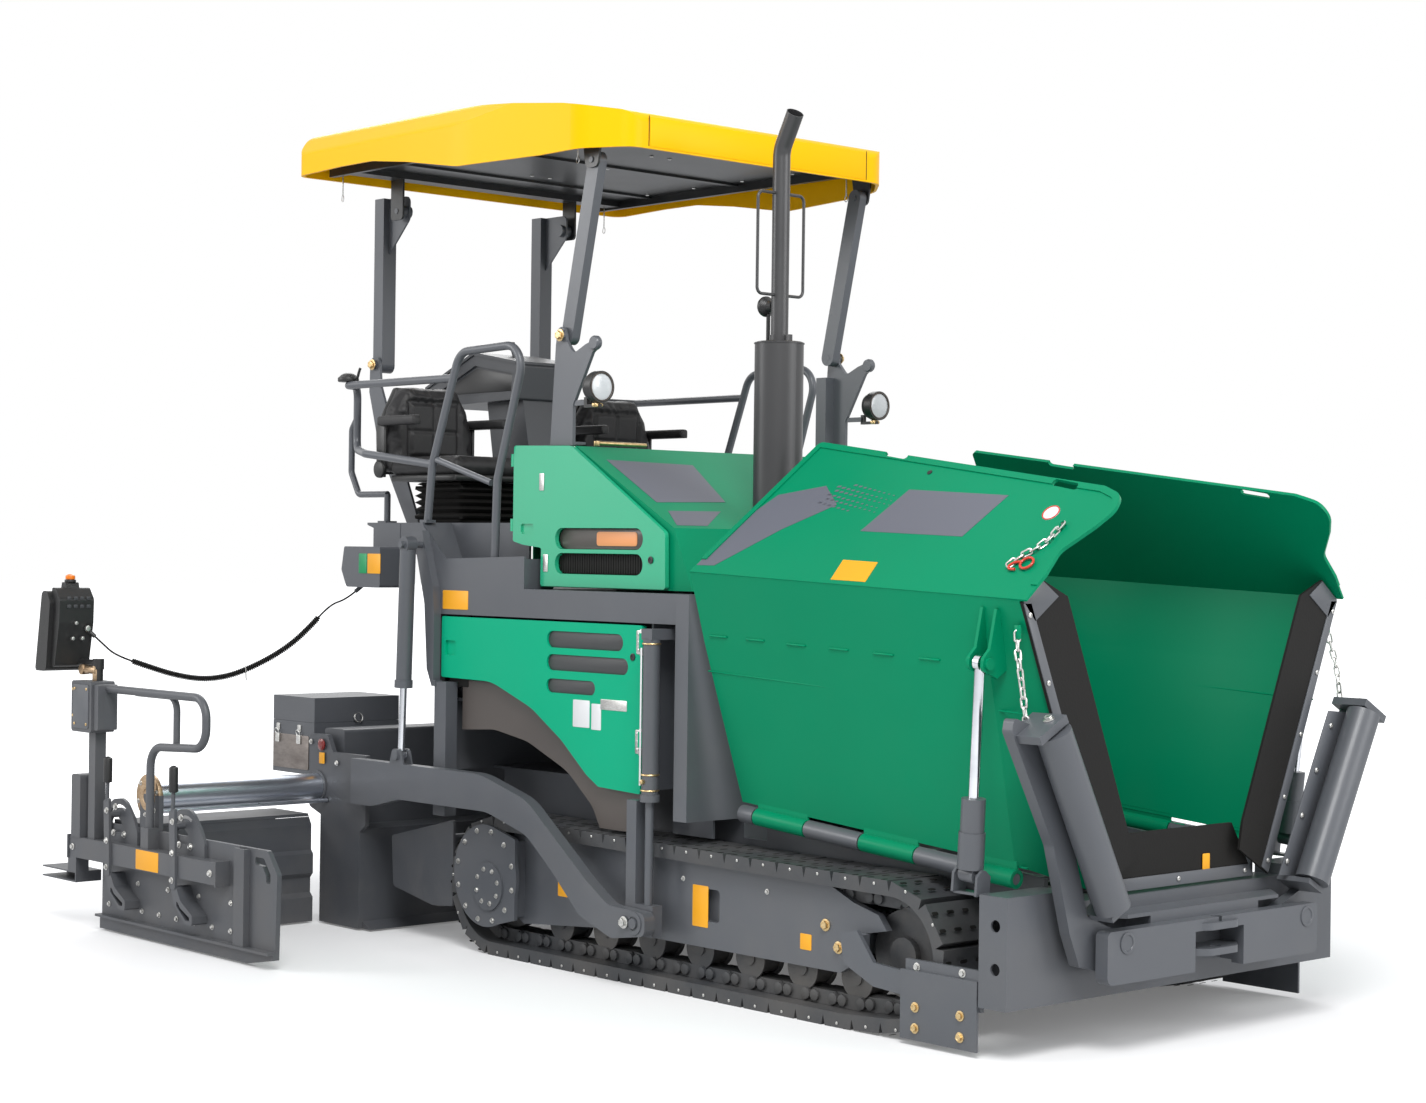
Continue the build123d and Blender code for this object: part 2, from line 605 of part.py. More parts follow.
def seats():
    y = seat_y
    bellows = box(-1350, -970, y - 180, y + 180, deck_high, 1790)
    for z, grow in ((1790, 0), (1820, 12), (1850, 0), (1880, 12)):
        bellows += box(-1345 - grow, -975 + grow, y - 170 - grow, y + 170 + grow, z, z + 30)
    base = box(-1400, -960, y - 215, y + 215, 1910, 1930)
    cushion = slab_y([(-1440, 1930, 20), (-950, 1930, 30), (-925, 1990, 30), (-960, 2018, 25),
                      (-1300, 1996, 60), (-1440, 2000)], y - 250, y + 250)
    profile = slab_y([(-1480, 1935), (-1400, 1935), (-1400, 2010, 20), (-1415, 2120, 60), (-1462, 2345, 30),
                      (-1545, 2335, 30), (-1510, 2120, 60)], y - 250, y + 250)
    shape = slab_x([(y - 225, 1930), (y + 225, 1930), (y + 250, 2060, 60), (y + 225, 2210, 60),
                    (y + 150, 2350, 60), (y - 150, 2350, 60), (y - 225, 2210, 60), (y - 250, 2060, 60)],
                   -1600, -1350)
    arm_rest = [slab_y([(-1480, 2150, 15), (-1200, 2165, 15), (-1200, 2195, 15), (-1480, 2190, 15)],
                       y + s * 262 - 22, y + s * 262 + 22) + box(-1500, -1450, y + s * 245 - 20,
                                                                y + s * 262, 2155, 2185)
                for s in (-1, 1)]
    return pair(bellows + base + cushion + (profile & shape) + arm_rest)


def console():
    half = 180
    body = slab_y([(-1960, 2310, 15), (-1950, 2352, 10), (-1582, 2498, 30), (-1268, 2447, 15),
                   (-1285, 2290, 10), (-1900, 2271, 15)], -half, half)
    recess = [(-1840, 2345), (-1575, 2450), (-1300, 2405), (-1308, 2320), (-1800, 2310)]
    for s in (-1, 1):
        body -= slab_y(recess, s * half - 12, s * half + 12)
    lid = slab_y([(-1945, 2353), (-1582, 2497), (-1270, 2446), (-1270, 2458), (-1582, 2511), (-1945, 2366)],
                 -half - 8, half + 8)
    foot = slab_y([(-1560, 2290), (-1300, 2295), (-1180, deck_high), (-1460, deck_high)], -120, 120)
    wheel_post = rod((-1500, 0, 2480), (-1540, 0, 2560), 14)
    return [body + lid + foot + wheel_post]


def handrails():
    r, y = rail_radius, rail_y
    hoop = bent_bar([(-1036, y, 1740), (-1010, y, 1974), (-830, y, 2436), (-385, y, 2450), (-564, y, 1907),
                     (-578, y, 1499)], r, 90)
    hoop += box(-602, -554, y - 24, y + 24, 1495, 1505)
    hoop += box(-1062, -1014, y - 24, y + 24, 1733, 1745)
    inner = y - 160
    upper = bent_bar([(-870, y, 2330), (-1640, y, 2330), (-1800, inner, 2340), (-1800, inner, 2060),
                      (-1500, y, 2030), (-1000, y, 1975)], r, 60)
    low_loop = bent_bar([(-1800, inner, 2200), (-1840, inner, 2150), (-1840, inner, 1960),
                         (-1780, inner, 1860), (-1560, inner, 1860)], 14, 30)
    leg = rod((-1560, inner, 1860), (-1560, inner, deck_high), 14) + box(-1590, -1530, inner - 30,
                                                                       inner + 30, deck_high, deck_high + 8)
    cross = rod((-976, y, 1994), (-604, y, 1895), 13)
    return pair(hoop + upper + low_loop + leg + cross)


def roof_brackets():
    x, z = front_post_foot
    in_face = front_post_y + 26
    foot = slab_y([(-290, 2044), (-150, 2040), (-150, 2200), (-75, 2330, 30), (-35, 2400, 10), (0, 2422, 10),
                   (-14, 2452, 10), (-80, 2432, 10), (-150, 2400, 30), (x + 22, z - 20, 20),
                   (x + 8, z + 38, 22), (x - 30, z + 30, 22), (-262, 2440)], in_face, in_face + 15)
    base = box(-290, -150, hinge_y, in_face, 2044, 2054)
    column = box(-282, -222, in_face - 50, in_face, 2054, 2390)
    stop = turned(Plane(origin=(-22, in_face - 4, 2436), z_dir=(0, 1, 0)),
                  [(0, 0), (24, 0), (28, 6), (28, 22), (24, 28), (0, 28)])
    pin = rod_y(x, z, in_face, in_face - 47, roof_pin_radius)
    knob = rod_y(x, z, in_face + 15, in_face + 27, 17)
    lamp_arm = box(-150, -60, in_face + 4, in_face + 11, 2195, 2215)
    fx, fz = rear_post_foot
    face = rear_post_y + post_half + post_play
    rear = slab_y([(-1636, deck_high), (-1546, deck_high), (fx + 130, 2180), (fx + 50, 2350),
                   (fx + 34, fz + 34, 30), (fx - 34, fz + 34, 30), (fx - 40, 2330), (fx + 40, 2080)],
                  face, face + 12)
    rear_pin = rod_y(fx, fz, face, face - 2 * post_half - 8, roof_pin_radius)
    rear_knob = rod_y(fx, fz, face + 12, face + 24, 17)
    return pair(foot + base + column + stop + pin + knob + lamp_arm, rear + rear_pin + rear_knob)


def lamps():
    """Working lights on the front brackets, and the horn on the muffler."""
    y = front_post_y + 26 + 11
    housing = turned(Plane(origin=(35, y + 10, 2262), z_dir=(-1, 0, 0)),
                     [(0, 10), (lamp_radius - 8, 10), (lamp_radius - 6, 0), (lamp_radius, 0),
                      (lamp_radius, 34), (lamp_radius - 10, 58), (26, 76), (0, 80)])
    stem = rod((5, y + 10, 2190), (5, y + 10, 2206), 12) + box(-68, 24, y, y + 16, 2184, 2196)
    stem += box(-68, -50, y, y + 16, 2184, 2225)
    x, y = exhaust_place[0] - 72, exhaust_place[1] + 8
    stalk = rod((x, y, 2440), (x, y, 2552), 8)
    horn = turned(Plane(origin=(x - 26, y, 2582), z_dir=(1, 0, 0)),
                  [(0, 0), (36, 0), (40, 8), (40, 18), (22, 34), (18, 52), (0, 56)])
    return pair(housing + stem) + [stalk + horn]


def post(foot, y, half_y, wide):
    """Roof post from its foot pin to its head pin."""
    dx, dz = roof_post_vector
    length = hypot(dx, dz)
    lean = Plane(origin=(foot[0], y, foot[1]), x_dir=(dz, 0, -dx), z_dir=(dx, 0, dz))
    shaft = lean * Pos(0, 0, length / 2) * Box(wide, 2 * half_y, length)
    for d in (0, length):
        shaft += rod_y(foot[0] + dx * d / length, foot[1] + dz * d / length, y - half_y, y + half_y,
                       wide / 2)
    return shaft - rod_y(foot[0], foot[1], y - 60, y + 60, roof_pin_radius + pin_gap)


def post_head(foot):
    return (foot[0] + roof_post_vector[0], foot[1] + roof_post_vector[1])


def front_posts():
    head = post_head(front_post_foot)
    posts = pair(post(front_post_foot, front_post_y, 20, 70))
    return posts + pair(rod_y(*head, front_post_y + 36, front_post_y - 26, roof_pin_radius))


def rear_posts():
    """Upright square posts; a gusset carries each head pin in front of its post."""
    x, z = rear_post_foot
    head = post_head(rear_post_foot)
    top = head[1] + 2 * post_half
    bar = slab_y([(x - post_half, z), (x - post_half, top, 12), (head[0] + post_half, top, 30),
                  (head[0] + post_half, head[1] - post_half, 30), (x + post_half, top - 250),
                  (x + post_half, z)], rear_post_y - 4, rear_post_y + 4)
    tube = box(x - post_half, x + post_half, rear_post_y - post_half, rear_post_y + post_half, z, top)
    foot = rod_y(x, z, rear_post_y - post_half, rear_post_y + post_half, post_half)
    boss = rod_y(*head, rear_post_y - 20, rear_post_y + post_half, 28)
    posts = tube + foot + bar + boss - rod_y(x, z, 0, 2 * rear_post_y, roof_pin_radius + pin_gap)
    pin = rod_y(*head, rear_post_y + post_half + 16, rear_post_y, roof_pin_radius)
    return pair(posts + pin)


def roof_form(inset):
    """Roof without its hollow: curved from the side, and rounded in plan and across."""
    rear, front, half, top = roof_rear + inset, roof_front - inset, roof_half - inset, roof_top - inset
    low = roof_top - 271 - (300 if inset else 0)
    side = slab_y([(rear, low + 75), (-1560, low + 85), (-1327, low + 85, 300), (-1073, low + 55, 300),
                   (-724, low, 300), (-266, low + 4, 600), (front, low + 21), (front, top - 112, 45),
                   (-145, top - 73, 400), (-662, top - 22, 900), (-1368, top - 6, 900),
                   (rear, top - 4, 40)], -half, half)
    plan = slab_z([(rear, -half, 60), (rear, half, 60), (-700, half, 900), (-60, half - 100, 150),
                   (front, half - 240, 110), (front, -half + 240, 110), (-60, -half + 100, 150),
                   (-700, -half, 900)], 2800, roof_top + 50)
    wide = half + 4
    across = slab_x([(-wide, 2800), (wide, 2800), (wide, top - 105, 60), (half - 80, top - 8, 90),
                     (0, top + 12, 900), (-half + 80, top - 8, 90), (-wide, top - 105, 60)],
                    roof_rear - 50, roof_front + 50)
    return side & plan & across


def roof():
    return [roof_form(0) - roof_form(roof_skin)]


def roof_frame():
    """Rails and bows under the liner, formers up to the roof's skin, and the lugs for the posts."""
    head_f, head_r = post_head(front_post_foot), post_head(rear_post_foot)
    lug_y = front_post_y + 21
    rail_top = roof_liner_top - 4
    rail_low = rail_top - 38
    front_lug = slab_y([(head_f[0] - 36, head_f[1] - 30, 25), (head_f[0] + 36, head_f[1] - 30, 25),
                        (head_f[0] + 60, rail_low), (head_f[0] + 60, rail_top), (head_f[0] - 60, rail_top),
                        (head_f[0] - 60, rail_low)], lug_y, lug_y + 10)
    front_lug -= rod_y(*head_f, lug_y - 7, lug_y + 33, roof_pin_radius + pin_gap)
    rear_y = rear_post_y + post_half + post_play
    rear_lug = slab_y([(head_r[0] - 45, head_r[1] - 40, 20), (head_r[0] + 45, head_r[1] - 40, 20),
                       (head_r[0] + 45, rail_top), (head_r[0] - 45, rail_top)], rear_y, rear_y + 10)
    rear_lug -= rod_y(*head_r, rear_y - 20, rear_y + 30, roof_pin_radius + pin_gap)
    rails = box(-1860, -50, lug_y + 10, lug_y + 35, rail_low, rail_top)
    bow_y = lug_y + 10
    bows = []
    for x in (-1500, -900, -200):
        former = box(x + 16, x + 24, -roof_half, roof_half, roof_liner_top, roof_top) & roof_form(roof_skin)
        bows.append(box(x, x + 40, -bow_y, bow_y, rail_top - 12, roof_liner_top + 4) + former)
    rear_bow = box(-1785, -1695, -bow_y, bow_y, rail_low + 8, roof_liner_top + 4)
    front_bow = box(-110, -10, -bow_y, bow_y, rail_low, rail_top)
    liner = box(-1855, -20, -lug_y - 20, lug_y + 20, roof_liner_top - 6, roof_liner_top)
    return bows + [rear_bow, front_bow, liner] + pair(front_lug, rear_lug, rails)


# ---- hopper wings ------------------------------------------------------------------
def through(points):
    """Function that gives x on the plane through three points, from y and z."""
    a, b, c = (Vector(*p) for p in points)
    n = (b - a).cross(c - a)
    return lambda y, z: a.X - (n.Y * (y - a.Y) + n.Z * (z - a.Z)) / n.X


def sheet_section(line, x_at, thickness):
    """Closed outline of a folded sheet: the line, and the same line moved inwards."""
    inner = []
    for k, (y, z) in enumerate(line):
        dirs = []
        if k > 0:
            dirs.append((y - line[k - 1][0], z - line[k - 1][1]))
        if k < len(line) - 1:
            dirs.append((line[k + 1][0] - y, line[k + 1][1] - z))
        normals = [(-d[1] / hypot(*d), d[0] / hypot(*d)) for d in dirs]
        n = (sum(v[0] for v in normals), sum(v[1] for v in normals))
        size = hypot(*n)
        n = (n[0] / size, n[1] / size)
        grow = thickness / (n[0] * normals[0][0] + n[1] * normals[0][1])
        inner.append((y + n[0] * grow, z + n[1] * grow))
    loop = [(x_at(y, z), y, z) for y, z in line + inner[::-1]]
    return make_face(Polyline(*loop, close=True))


def wing_line(*corners):
    """Section of the wing's wall, with y from the hinge."""
    return [(hinge_y + y, z) for y, z in corners]


fold_rear = Vector(690, hinge_y + 190, 1558)            # upper fold of the wing
fold_bend = Vector(wing_bend, hinge_y + 184, 1500)
flange_tip = Vector(887, hinge_y - 280, 2040)           # rear tip of the upper flange


def fold_at(x):
    t = (x - fold_rear.X) / (fold_bend.X - fold_rear.X)
    return fold_rear + (fold_bend - fold_rear) * t


def flange_plane():
    """Plane of the upper flange: x along the fold, y up the flange, z outwards."""
    along = (fold_bend - fold_rear).normalized()
    inward = along.cross(flange_tip - fold_rear).normalized()
    return Plane(origin=tuple(fold_rear), x_dir=tuple(along), z_dir=tuple(-inward))


def upper_flange():
    """Upper flange with its swept front corner, doubled rim and two hand holes."""
    front = (fold_at(wing_front) - fold_rear).length
    plane = flange_plane()
    up = 1 if plane.y_dir.Z > 0 else -1
    corners = [(-2, -3), (front + 34, -3), (front + 48, 108, 60), (front + 42, 212, 60),
               (front + 118, 328, 60), (front + 156, 408, 90), (front + 138, 475, 60), (front + 50, 510, 60),
               (179, 678, 25)]
    corners = [(c[0], up * c[1], *c[2:]) for c in corners]
    sheet = extrude(outline(plane, corners), amount=-wing_sheet)
    rim = outline(plane, corners) - offset(outline(plane, corners), amount=-wing_rim)
    rim &= plane * Pos(front / 2, up * (60 + 400)) * Rectangle(3 * front, 800)
    rim = extrude(rim, amount=5) + extrude(rim, amount=-wing_sheet)
    long, wide = wing_hand_hole
    holes = []
    for u, v, lean in ((front - 118, 511, -9), (606, 622, -8)):
        spot = plane * Pos(u, up * v) * Rot(0, 0, up * lean) * SlotOverall(long, wide)
        holes.append(extrude(spot, amount=30, both=True))
    return sheet + rim - holes


def wing():
    rear_line = wing_line((0, 712), (93, 1105), (138, 1300), (190, 1558))
    bend_line = wing_line((0, 612), (90, 1050), (133, 1243), (184, 1500))
    end_line = wing_line((-230, 520), (-19, 1040), (58, 1232))
    end_line.append((fold_at(wing_front).Y, fold_at(wing_front).Z))
    rear_x = through([(785, hinge_y, 712), tuple(fold_rear), tuple(flange_tip)])
    rear = sheet_section(rear_line, rear_x, wing_sheet)
    bend = sheet_section(bend_line, lambda y, z: wing_bend, wing_sheet)
    end = sheet_section(end_line, lambda y, z: wing_front, wing_sheet)
    walls = loft([rear, bend], ruled=True) + loft([bend, end], ruled=True)
    on_frame, on_wing = knuckles()
    sleeves = []
    for x0, x1 in on_wing:
        sleeve = rod(hinge_point(x0), hinge_point(x1), hinge_sleeve, hinge_pin + pin_gap)
        tab = slab_y([hinge_xz(x0, 24), hinge_xz(x1, 24), hinge_xz(x1, 60), hinge_xz(x0, 60)],
                     hinge_y - 6, hinge_y + 2)
        sleeves.append(sleeve + tab)
    ribs = [cylinder_slab([(158, 1235), (232, 1262, 20), (232, 1300, 20), (202, 1330), (184, 1460),
                           (172 - root, 1460), (132 - root, 1262)], w, w + 12)
            for w, root in ((-wing_rib_gap - 12, 0), (wing_rib_gap, 20))]
    length = cylinder_length()
    heads = [rod(cylinder_point(w, length), cylinder_point(w + 10, length), 20)
             for w in (-wing_rib_gap - 22, wing_rib_gap + 12)]
    return [walls + upper_flange() + sleeves + ribs + heads]


def wing_flap():
    top = fold_at(wing_front)
    corners = wing_line((-230, 512), (-400, 610), (-382, 705), (-50, 1500), (80, 1555))
    corners.append((top.Y - 8, top.Z - 12))
    return [slab_x(corners, wing_front + 1, wing_front + 11)]


# ---- wing cylinders ----------------------------------------------------------------
def cylinder_length():
    """Distance between the wing cylinder's pins."""
    return (Vector(*wing_pin) - Vector(*cylinder_point(0, 0))).length


def wing_barrel():
    at = lambda d: cylinder_point(0, d)
    barrel = rod(at(22), at(250), 40) + rod(at(20), at(140), 44)
    barrel += rod(cylinder_point(-30, 0), cylinder_point(30, 0), wing_eye)
    barrel -= rod(cylinder_point(-50, 0), cylinder_point(50, 0), wing_pin_radius + pin_gap)
    return [barrel - rod(at(60), at(300), 18 + slide_gap)]


def wing_rod():
    length = cylinder_length()
    bar = rod(cylinder_point(0, 200), cylinder_point(0, length), 18)
    return [bar + rod(cylinder_point(-12, length), cylinder_point(12, length), wing_eye)]


# ---- push arms ---------------------------------------------------------------------
def push_line(r, offset=0.0):
    """Point at a distance from the push arm's pivot along the roller's axis."""
    c, s = cos(radians(push_tilt)), sin(radians(push_tilt))
    return (push_pivot[0] + r * c + offset * s, push_pivot[1] + r * s - offset * c)


def push_arm():
    x0, x1 = push_arm_x
    at = lambda *corners: [(push_pivot[0] + c[0], c[1], *c[2:]) for c in corners]
    r1 = push_roller_span[1]
    tip = [(*push_line(r1 + 55, 106), 20), (*push_line(r1 + 91, 76), 15), (*push_line(r1 + 20, 6), 30)]
    arm = slab_x(at((55, 275, 20), (155, 300), (205, 410, 60), (291, 700, 60)) + tip
                 + at((205, 740, 60), (115, 460), (15, 420), (-45, 400, 30), (-55, 320, 30)), x0, x1)
    arm -= rod((x0 - 5, *push_pivot), (x1 + 5, *push_pivot), 26 + pin_gap)
    x_roller = front_end - push_roller_radius
    lower = [push_line(124, 45), push_line(124, -50), push_line(142, -50), push_line(142, 45)]
    upper = [push_line(r1 + 8, 95), push_line(r1 + 8, -50), push_line(r1 + 36, -50), push_line(r1 + 36, 95)]
    brackets = [slab_x(lower, x0, x_roller + 25), slab_x(upper, x0, x_roller + 30)]
    spindles = [rod((x_roller, *push_line(130)), (x_roller, *push_line(r1 + 20)), 16)]
    return [arm + brackets + spindles]


def push_roller():
    x = front_end - push_roller_radius
    r0, r1 = push_roller_span
    return [rod((x, *push_line(r0)), (x, *push_line(r1)), push_roller_radius, 16 + pin_gap)]


# ---- screed ------------------------------------------------------------------------
def tow_arms():
    arm = slab_y([(-1350, 735), (-454, 735, 400), (-151, 657, 300), (37, 519, 300), (220, 385, 150),
                  (350, 306, 100), (560, 297, 30), (560, 213, 30), (370, 185, 60), (181, 249, 100),
                  (9, 401, 200), (-149, 521, 200), (-405, 589, 300), (-1000, 589, 60), (-1197, 545, 30),
                  (-1350, 545)],
                 arm_in, arm_out)
    arm -= rod_y(*tow_pin, arm_in - 25, arm_out + 25, tow_pin_radius + pin_gap)
    x, z = lift_pin_arm
    ears = [slab_y([(x - 50, 730), (x - 30, z + 26, 20), (x + 30, z + 26, 20), (x + 50, 730)], y, y + 8)
            for y in (arm_in, arm_out - 8)]
    heads = [rod_y(x, z, y, y + 10, 20) for y in (arm_in - 10, arm_out)]
    collar = [rod_y(*tow_pin, y, y + 4, 42, tow_pin_radius + 6) for y in (arm_in - 4, arm_out)]
    return pair(arm + ears + heads + collar)


def screed_frame():
    inner = screed_half - thick
    tube_x, tube_z = tube_axis
    side = slab_y([(screed_front, 8), (screed_front, 420), (-1310, 450), (-1310, 745), (-1560, 745),
                   (-1600, 815), (-1740, 815, 20), (-1740, 500, 20), (screed_rear, 470), (screed_rear, 8)],
                  inner, screed_half)
    side -= rod_y(*tube_axis, inner - 5, screed_half + 5, tube_radius + slide_gap)
    side -= rod_y(*guide_axis, inner - 5, screed_half + 5, guide_radius + 3)
    collar = rod_y(*tube_axis, inner, screed_half + run_gap, tube_radius + 14, tube_radius + slide_gap)
    front = slab_y([(screed_front, 40), (screed_front + 60, 8), (screed_front - 10, 8),
                    (screed_front - 10, 420), (screed_front, 420)], -inner, inner)
    sole = box(screed_rear, screed_front - 10, -inner, inner, 8, 24)
    rear = box(screed_rear, screed_rear + 10, -inner, inner, 24, 440)
    top = box(screed_rear, screed_front, -inner, inner, 420, 430)
    cover_half = screed_half - 45
    cover = slab_y([(-1690, 725), (-1690, 840, 15), (-1540, 840, 15), (-1540, 725)], -cover_half, cover_half)
    cover -= box(-1680, -1550, -cover_half + 10, cover_half - 10, 715, 830)
    bridge = [box(-1552, -1540, -cover_half, cover_half, 430, 740)]
    sleeve = rod_y(*tube_axis, 12, inner, tube_radius + 12, tube_radius + slide_gap)
    web = slab_y([(-1560, 430), (-1560, 725), (-1640, 725), (-1640, 700), (-1600, 430)], 100, 112)
    web -= rod_y(*tube_axis, 90, 120, tube_radius + 5)
    web -= rod_y(*guide_axis, 90, 120, guide_radius + 3)
    return [front, sole, rear, top, cover] + bridge + pair(side + collar, sleeve, web)


tool_box_y, tool_box_x = (400, 850), (-2150, -1820)
tool_box_rim = 850
lid_hinge = (tool_box_x[0] - 8, tool_box_rim + 4)


def tool_box():
    (y0, y1), (x0, x1), w = tool_box_y, tool_box_x, 5
    case = box(x0, x1, y0, y1, 620, tool_box_rim) - box(x0 + w, x1 - w, y0 + w, y1 - w, 625, tool_box_rim)
    bracket = box(x1, -1690, y0 + 40, y1 - 30, 760, 800)
    hinges = []
    for y in (y0 + 90, y1 - 130):
        knuckle = rod_y(*lid_hinge, y, y + 20, 8, 3 + pin_gap)
        hinges.append(knuckle + box(x0 - 8, x0, y, y + 20, tool_box_rim - 30, tool_box_rim - 3))
    latch = box(x1, x1 + 8, 0.5 * (y0 + y1) - 20, 0.5 * (y0 + y1) + 20, 790, 835)
    return pair(case + bracket + hinges + latch)


def tool_lid():
    (y0, y1), (x0, x1), w, gap = tool_box_y, tool_box_x, 5, 1
    low, high = tool_box_rim + gap, tool_box_rim + 110
    lid = box(x0, x1, y0, y1, low, high) - box(x0 + w, x1 - w, y0 + w, y1 - w, low, high - w)
    for y in (y0 + 90, y1 - 130):
        lid += rod_y(*lid_hinge, y + 21, y + 41, 8) + rod_y(*lid_hinge, y + 2, y + 21, 3)
        lid += box(x0 - 8, x0, y + 21, y + 41, tool_box_rim + 8, tool_box_rim + 40)
    staple = box(x1, x1 + 8, 0.5 * (y0 + y1) - 12, 0.5 * (y0 + y1) + 12, low + 2, low + 40)
    return [lid + staple]


def extension():
    y0, y1 = end_plate_y - 783, end_plate_y
    x, rear = extension_front, extension_rear
    shell = slab_y([(x, 20), (x, 112), (x - 20, 132), (x - 20, 196), (x, 216), (x, 300), (x - 16, 316),
                    (x - 16, 424), (x - 44, 470), (rear, 470), (rear, 20)], y0, y1)
    hollow = box(rear + 12, x - 36, y0 - 10, y1 - 12, 40, 458)
    sole = box(rear, x, y0, y1, 8, 20)
    ribs = [box(rear - 8, rear, y, y + 8, 60, 440) for y in (y0 + 150, y0 + 400, y0 + 650)]
    return [shell - hollow + sole + ribs]


def extension_tube():
    start = end_plate_y - 880
    tube = rod_y(*tube_axis, start, end_plate_y, tube_radius, 40)
    guide = rod_y(*guide_axis, start, end_plate_y, guide_radius)
    return [tube, guide]


def end_plate():
    y, out = end_plate_y, end_plate_y + end_plate_thick
    side = slab_y([(-2040, 8), (-880, 8), (-700, 40), (-690, 370, 20), (-762, 455, 20), (-2040, 455)], y, out)
    side -= slab_y([(-848, 424, 8), (-786, 424, 20), (-738, 366, 12), (-738, 330, 8), (-768, 330, 8),
                    (-768, 356, 8), (-796, 392, 8), (-848, 396, 8)], y - 5, out + 5)
    runner = slab_y([(-2040, 8), (-880, 8), (-700, 40), (-700, 66), (-2040, 66)], out, out + 10)
    runner += box(-2040, -700, out, out + 34, 60, 70)
    folds = [box(x, x + 12, out, out + 26, 70, 450) for x in (-962, -900)]
    folds += [box(-962, -888, out + 18, out + 26, 70, 450)]
    tube_x, tube_z = tube_axis
    flange = rod_y(tube_x, tube_z, y, out - 4, 90)
    link = box(tube_x - 60, guide_axis[0] + 20, y, out, 440, 600)
    # beam with two adjusters
    beam = box(end_beam_rear, -1030, out, out + 60, 296, 384)
    beam += box(-1038, -1030, out - 2, out + 66, 290, 390) + box(end_beam_rear, end_beam_rear + 10,
                                                             out, out + 66, 290, 390)
    adjusters = []
    for x in (-1880, -1350):
        quadrant = slab_y([(x - 120, 380), (x - 112, 490, 60), (x - 60, 560, 60), (x + 40, 572, 80),
                           (x + 112, 500, 60), (x + 150, 440, 20), (x + 150, 380)], out, out + 14)
        quadrant -= slab_y(arc_slot(x, 430, 106, 14, 62, 148), out - 5, out + 20)
        quadrant -= slab_y([(x - 84, 425, 20), (x - 74, 480, 25), (x - 20, 496, 20), (x + 22, 470, 15),
                            (x + 22, 425, 15)], out - 5, out + 20)
        bar = slab_y([(x - 14, 250, 10), (x - 30, 560, 10), (x + 14, 575, 10), (x + 24, 250, 10)],
                     out + 60, out + 72)
        toe = slab_y([(x - 16, 262, 10), (x + 26, 262, 10), (x + 60, 210, 10), (x + 150, 160, 10),
                      (x + 150, 120, 10), (x + 100, 120, 10), (x + 10, 190, 10)], out, out + 68)
        toe -= slab_y([(x + 30, 210, 5), (x + 60, 180, 5), (x + 130, 150, 5), (x + 130, 136, 5),
                       (x + 100, 136, 5), (x + 30, 185, 5)], out + 12, out + 80)
        bridge = rod_y(x - 8, 500, out, out + 66, 12)
        lever = rod((x - 8, out + 66, 560), (x - 6, out + 66, 650), 8)
        grip = turned(Pos(x - 6, out + 66, 640), [(0, 0), (13, 0), (17, 12), (15, 92), (10, 100), (0, 100)])
        adjusters += [quadrant, bar, toe, bridge, lever, grip]
    foot = box(rear_end, -2160, y - 40, out + 60, 190, 236)
    foot -= box(rear_end - 5, -2168, y - 34, out + 65, 196, 230)
    foot_arm = box(end_beam_rear, -2160, out, out + 60, 232, 300)
    screw_box = slab_y([(-2196, 384), (-2120, 384), (-2120, 650, 15), (-2196, 650, 15)], out, out + 66)
    post_bar = box(-2080, -2024, out, out + 50, 380, 1050)
    rail_y1 = out + 25
    rail = bent_bar([(-2040, rail_y1, 1020), (-1180, rail_y1, 1020), (-1180, rail_y1, 820),
                     (-1610, rail_y1, 800), (-1610, rail_y1, 380)], rail_radius, 85)
    hook = bent_bar([(-1760, rail_y1 - 20, 1012), (-1440, rail_y1 - 20, 1012), (-1440, rail_y1 - 20, 800)],
                    14, 60)
    rail_foot = box(-1640, -1580, rail_y1 - 25, rail_y1 + 25, 384, 470)
    case = slab_y([(-2170, 834, 15), (-2000, 834, 15), (-2000, 1049, 15), (-2170, 1049, 15)],
                  out - 25, out + 85)
    door = slab_y([(-2000, 846, 8), (-1960, 846, 8), (-1960, 1037, 8), (-2000, 1037, 8)], out - 15, out + 75)
    return [side + runner + folds + flange + link + beam + adjusters + foot + foot_arm + screw_box
            + post_bar + rail + hook + rail_foot + case + door]


def remote_panel():
    y = end_plate_y
    x0 = end_beam_rear - 30
    arm = rod((-2052, y + 45, 1050), (-2052, y + 45, 1120), 20)
    arm += rod((-2035, y + 45, 1120), (x0 + 60, y + 45, 1120), 17)
    arm += rod((-2052, y + 45, 1098), (-2052, y + 45, 1142), 24)
    front = slab_y([(x0 + 8, 1110, 10), (x0 + 58, 1100, 20), (x0 + 96, 1290, 60), (x0 + 100, 1392, 25),
                    (x0 + 60, 1440, 20), (x0 + 30, 1440, 10)], y + 10, y + 170)
    back = slab_y([(x0 - 75, 1085, 15), (x0 + 20, 1085, 25), (x0 + 50, 1380, 30), (x0 + 20, 1425, 20),
                   (x0 - 22, 1425, 25)], y - 10, y + 190)
    back -= slab_y([(x0 - 54, 1150, 10), (x0 - 26, 1150, 10), (x0 - 2, 1360, 10), (x0 - 24, 1375, 10)],
                   y + 30, y + 150)
    hood_top = slab_y([(x0 + 10, 1425), (x0 + 66, 1425), (x0 + 56, 1462, 10), (x0 + 20, 1462, 10)],
                      y + 60, y + 120)
    gland = rod((-2185, 1772, 1272), cord_gland, 9)
    return [arm + front + back + hood_top + gland]


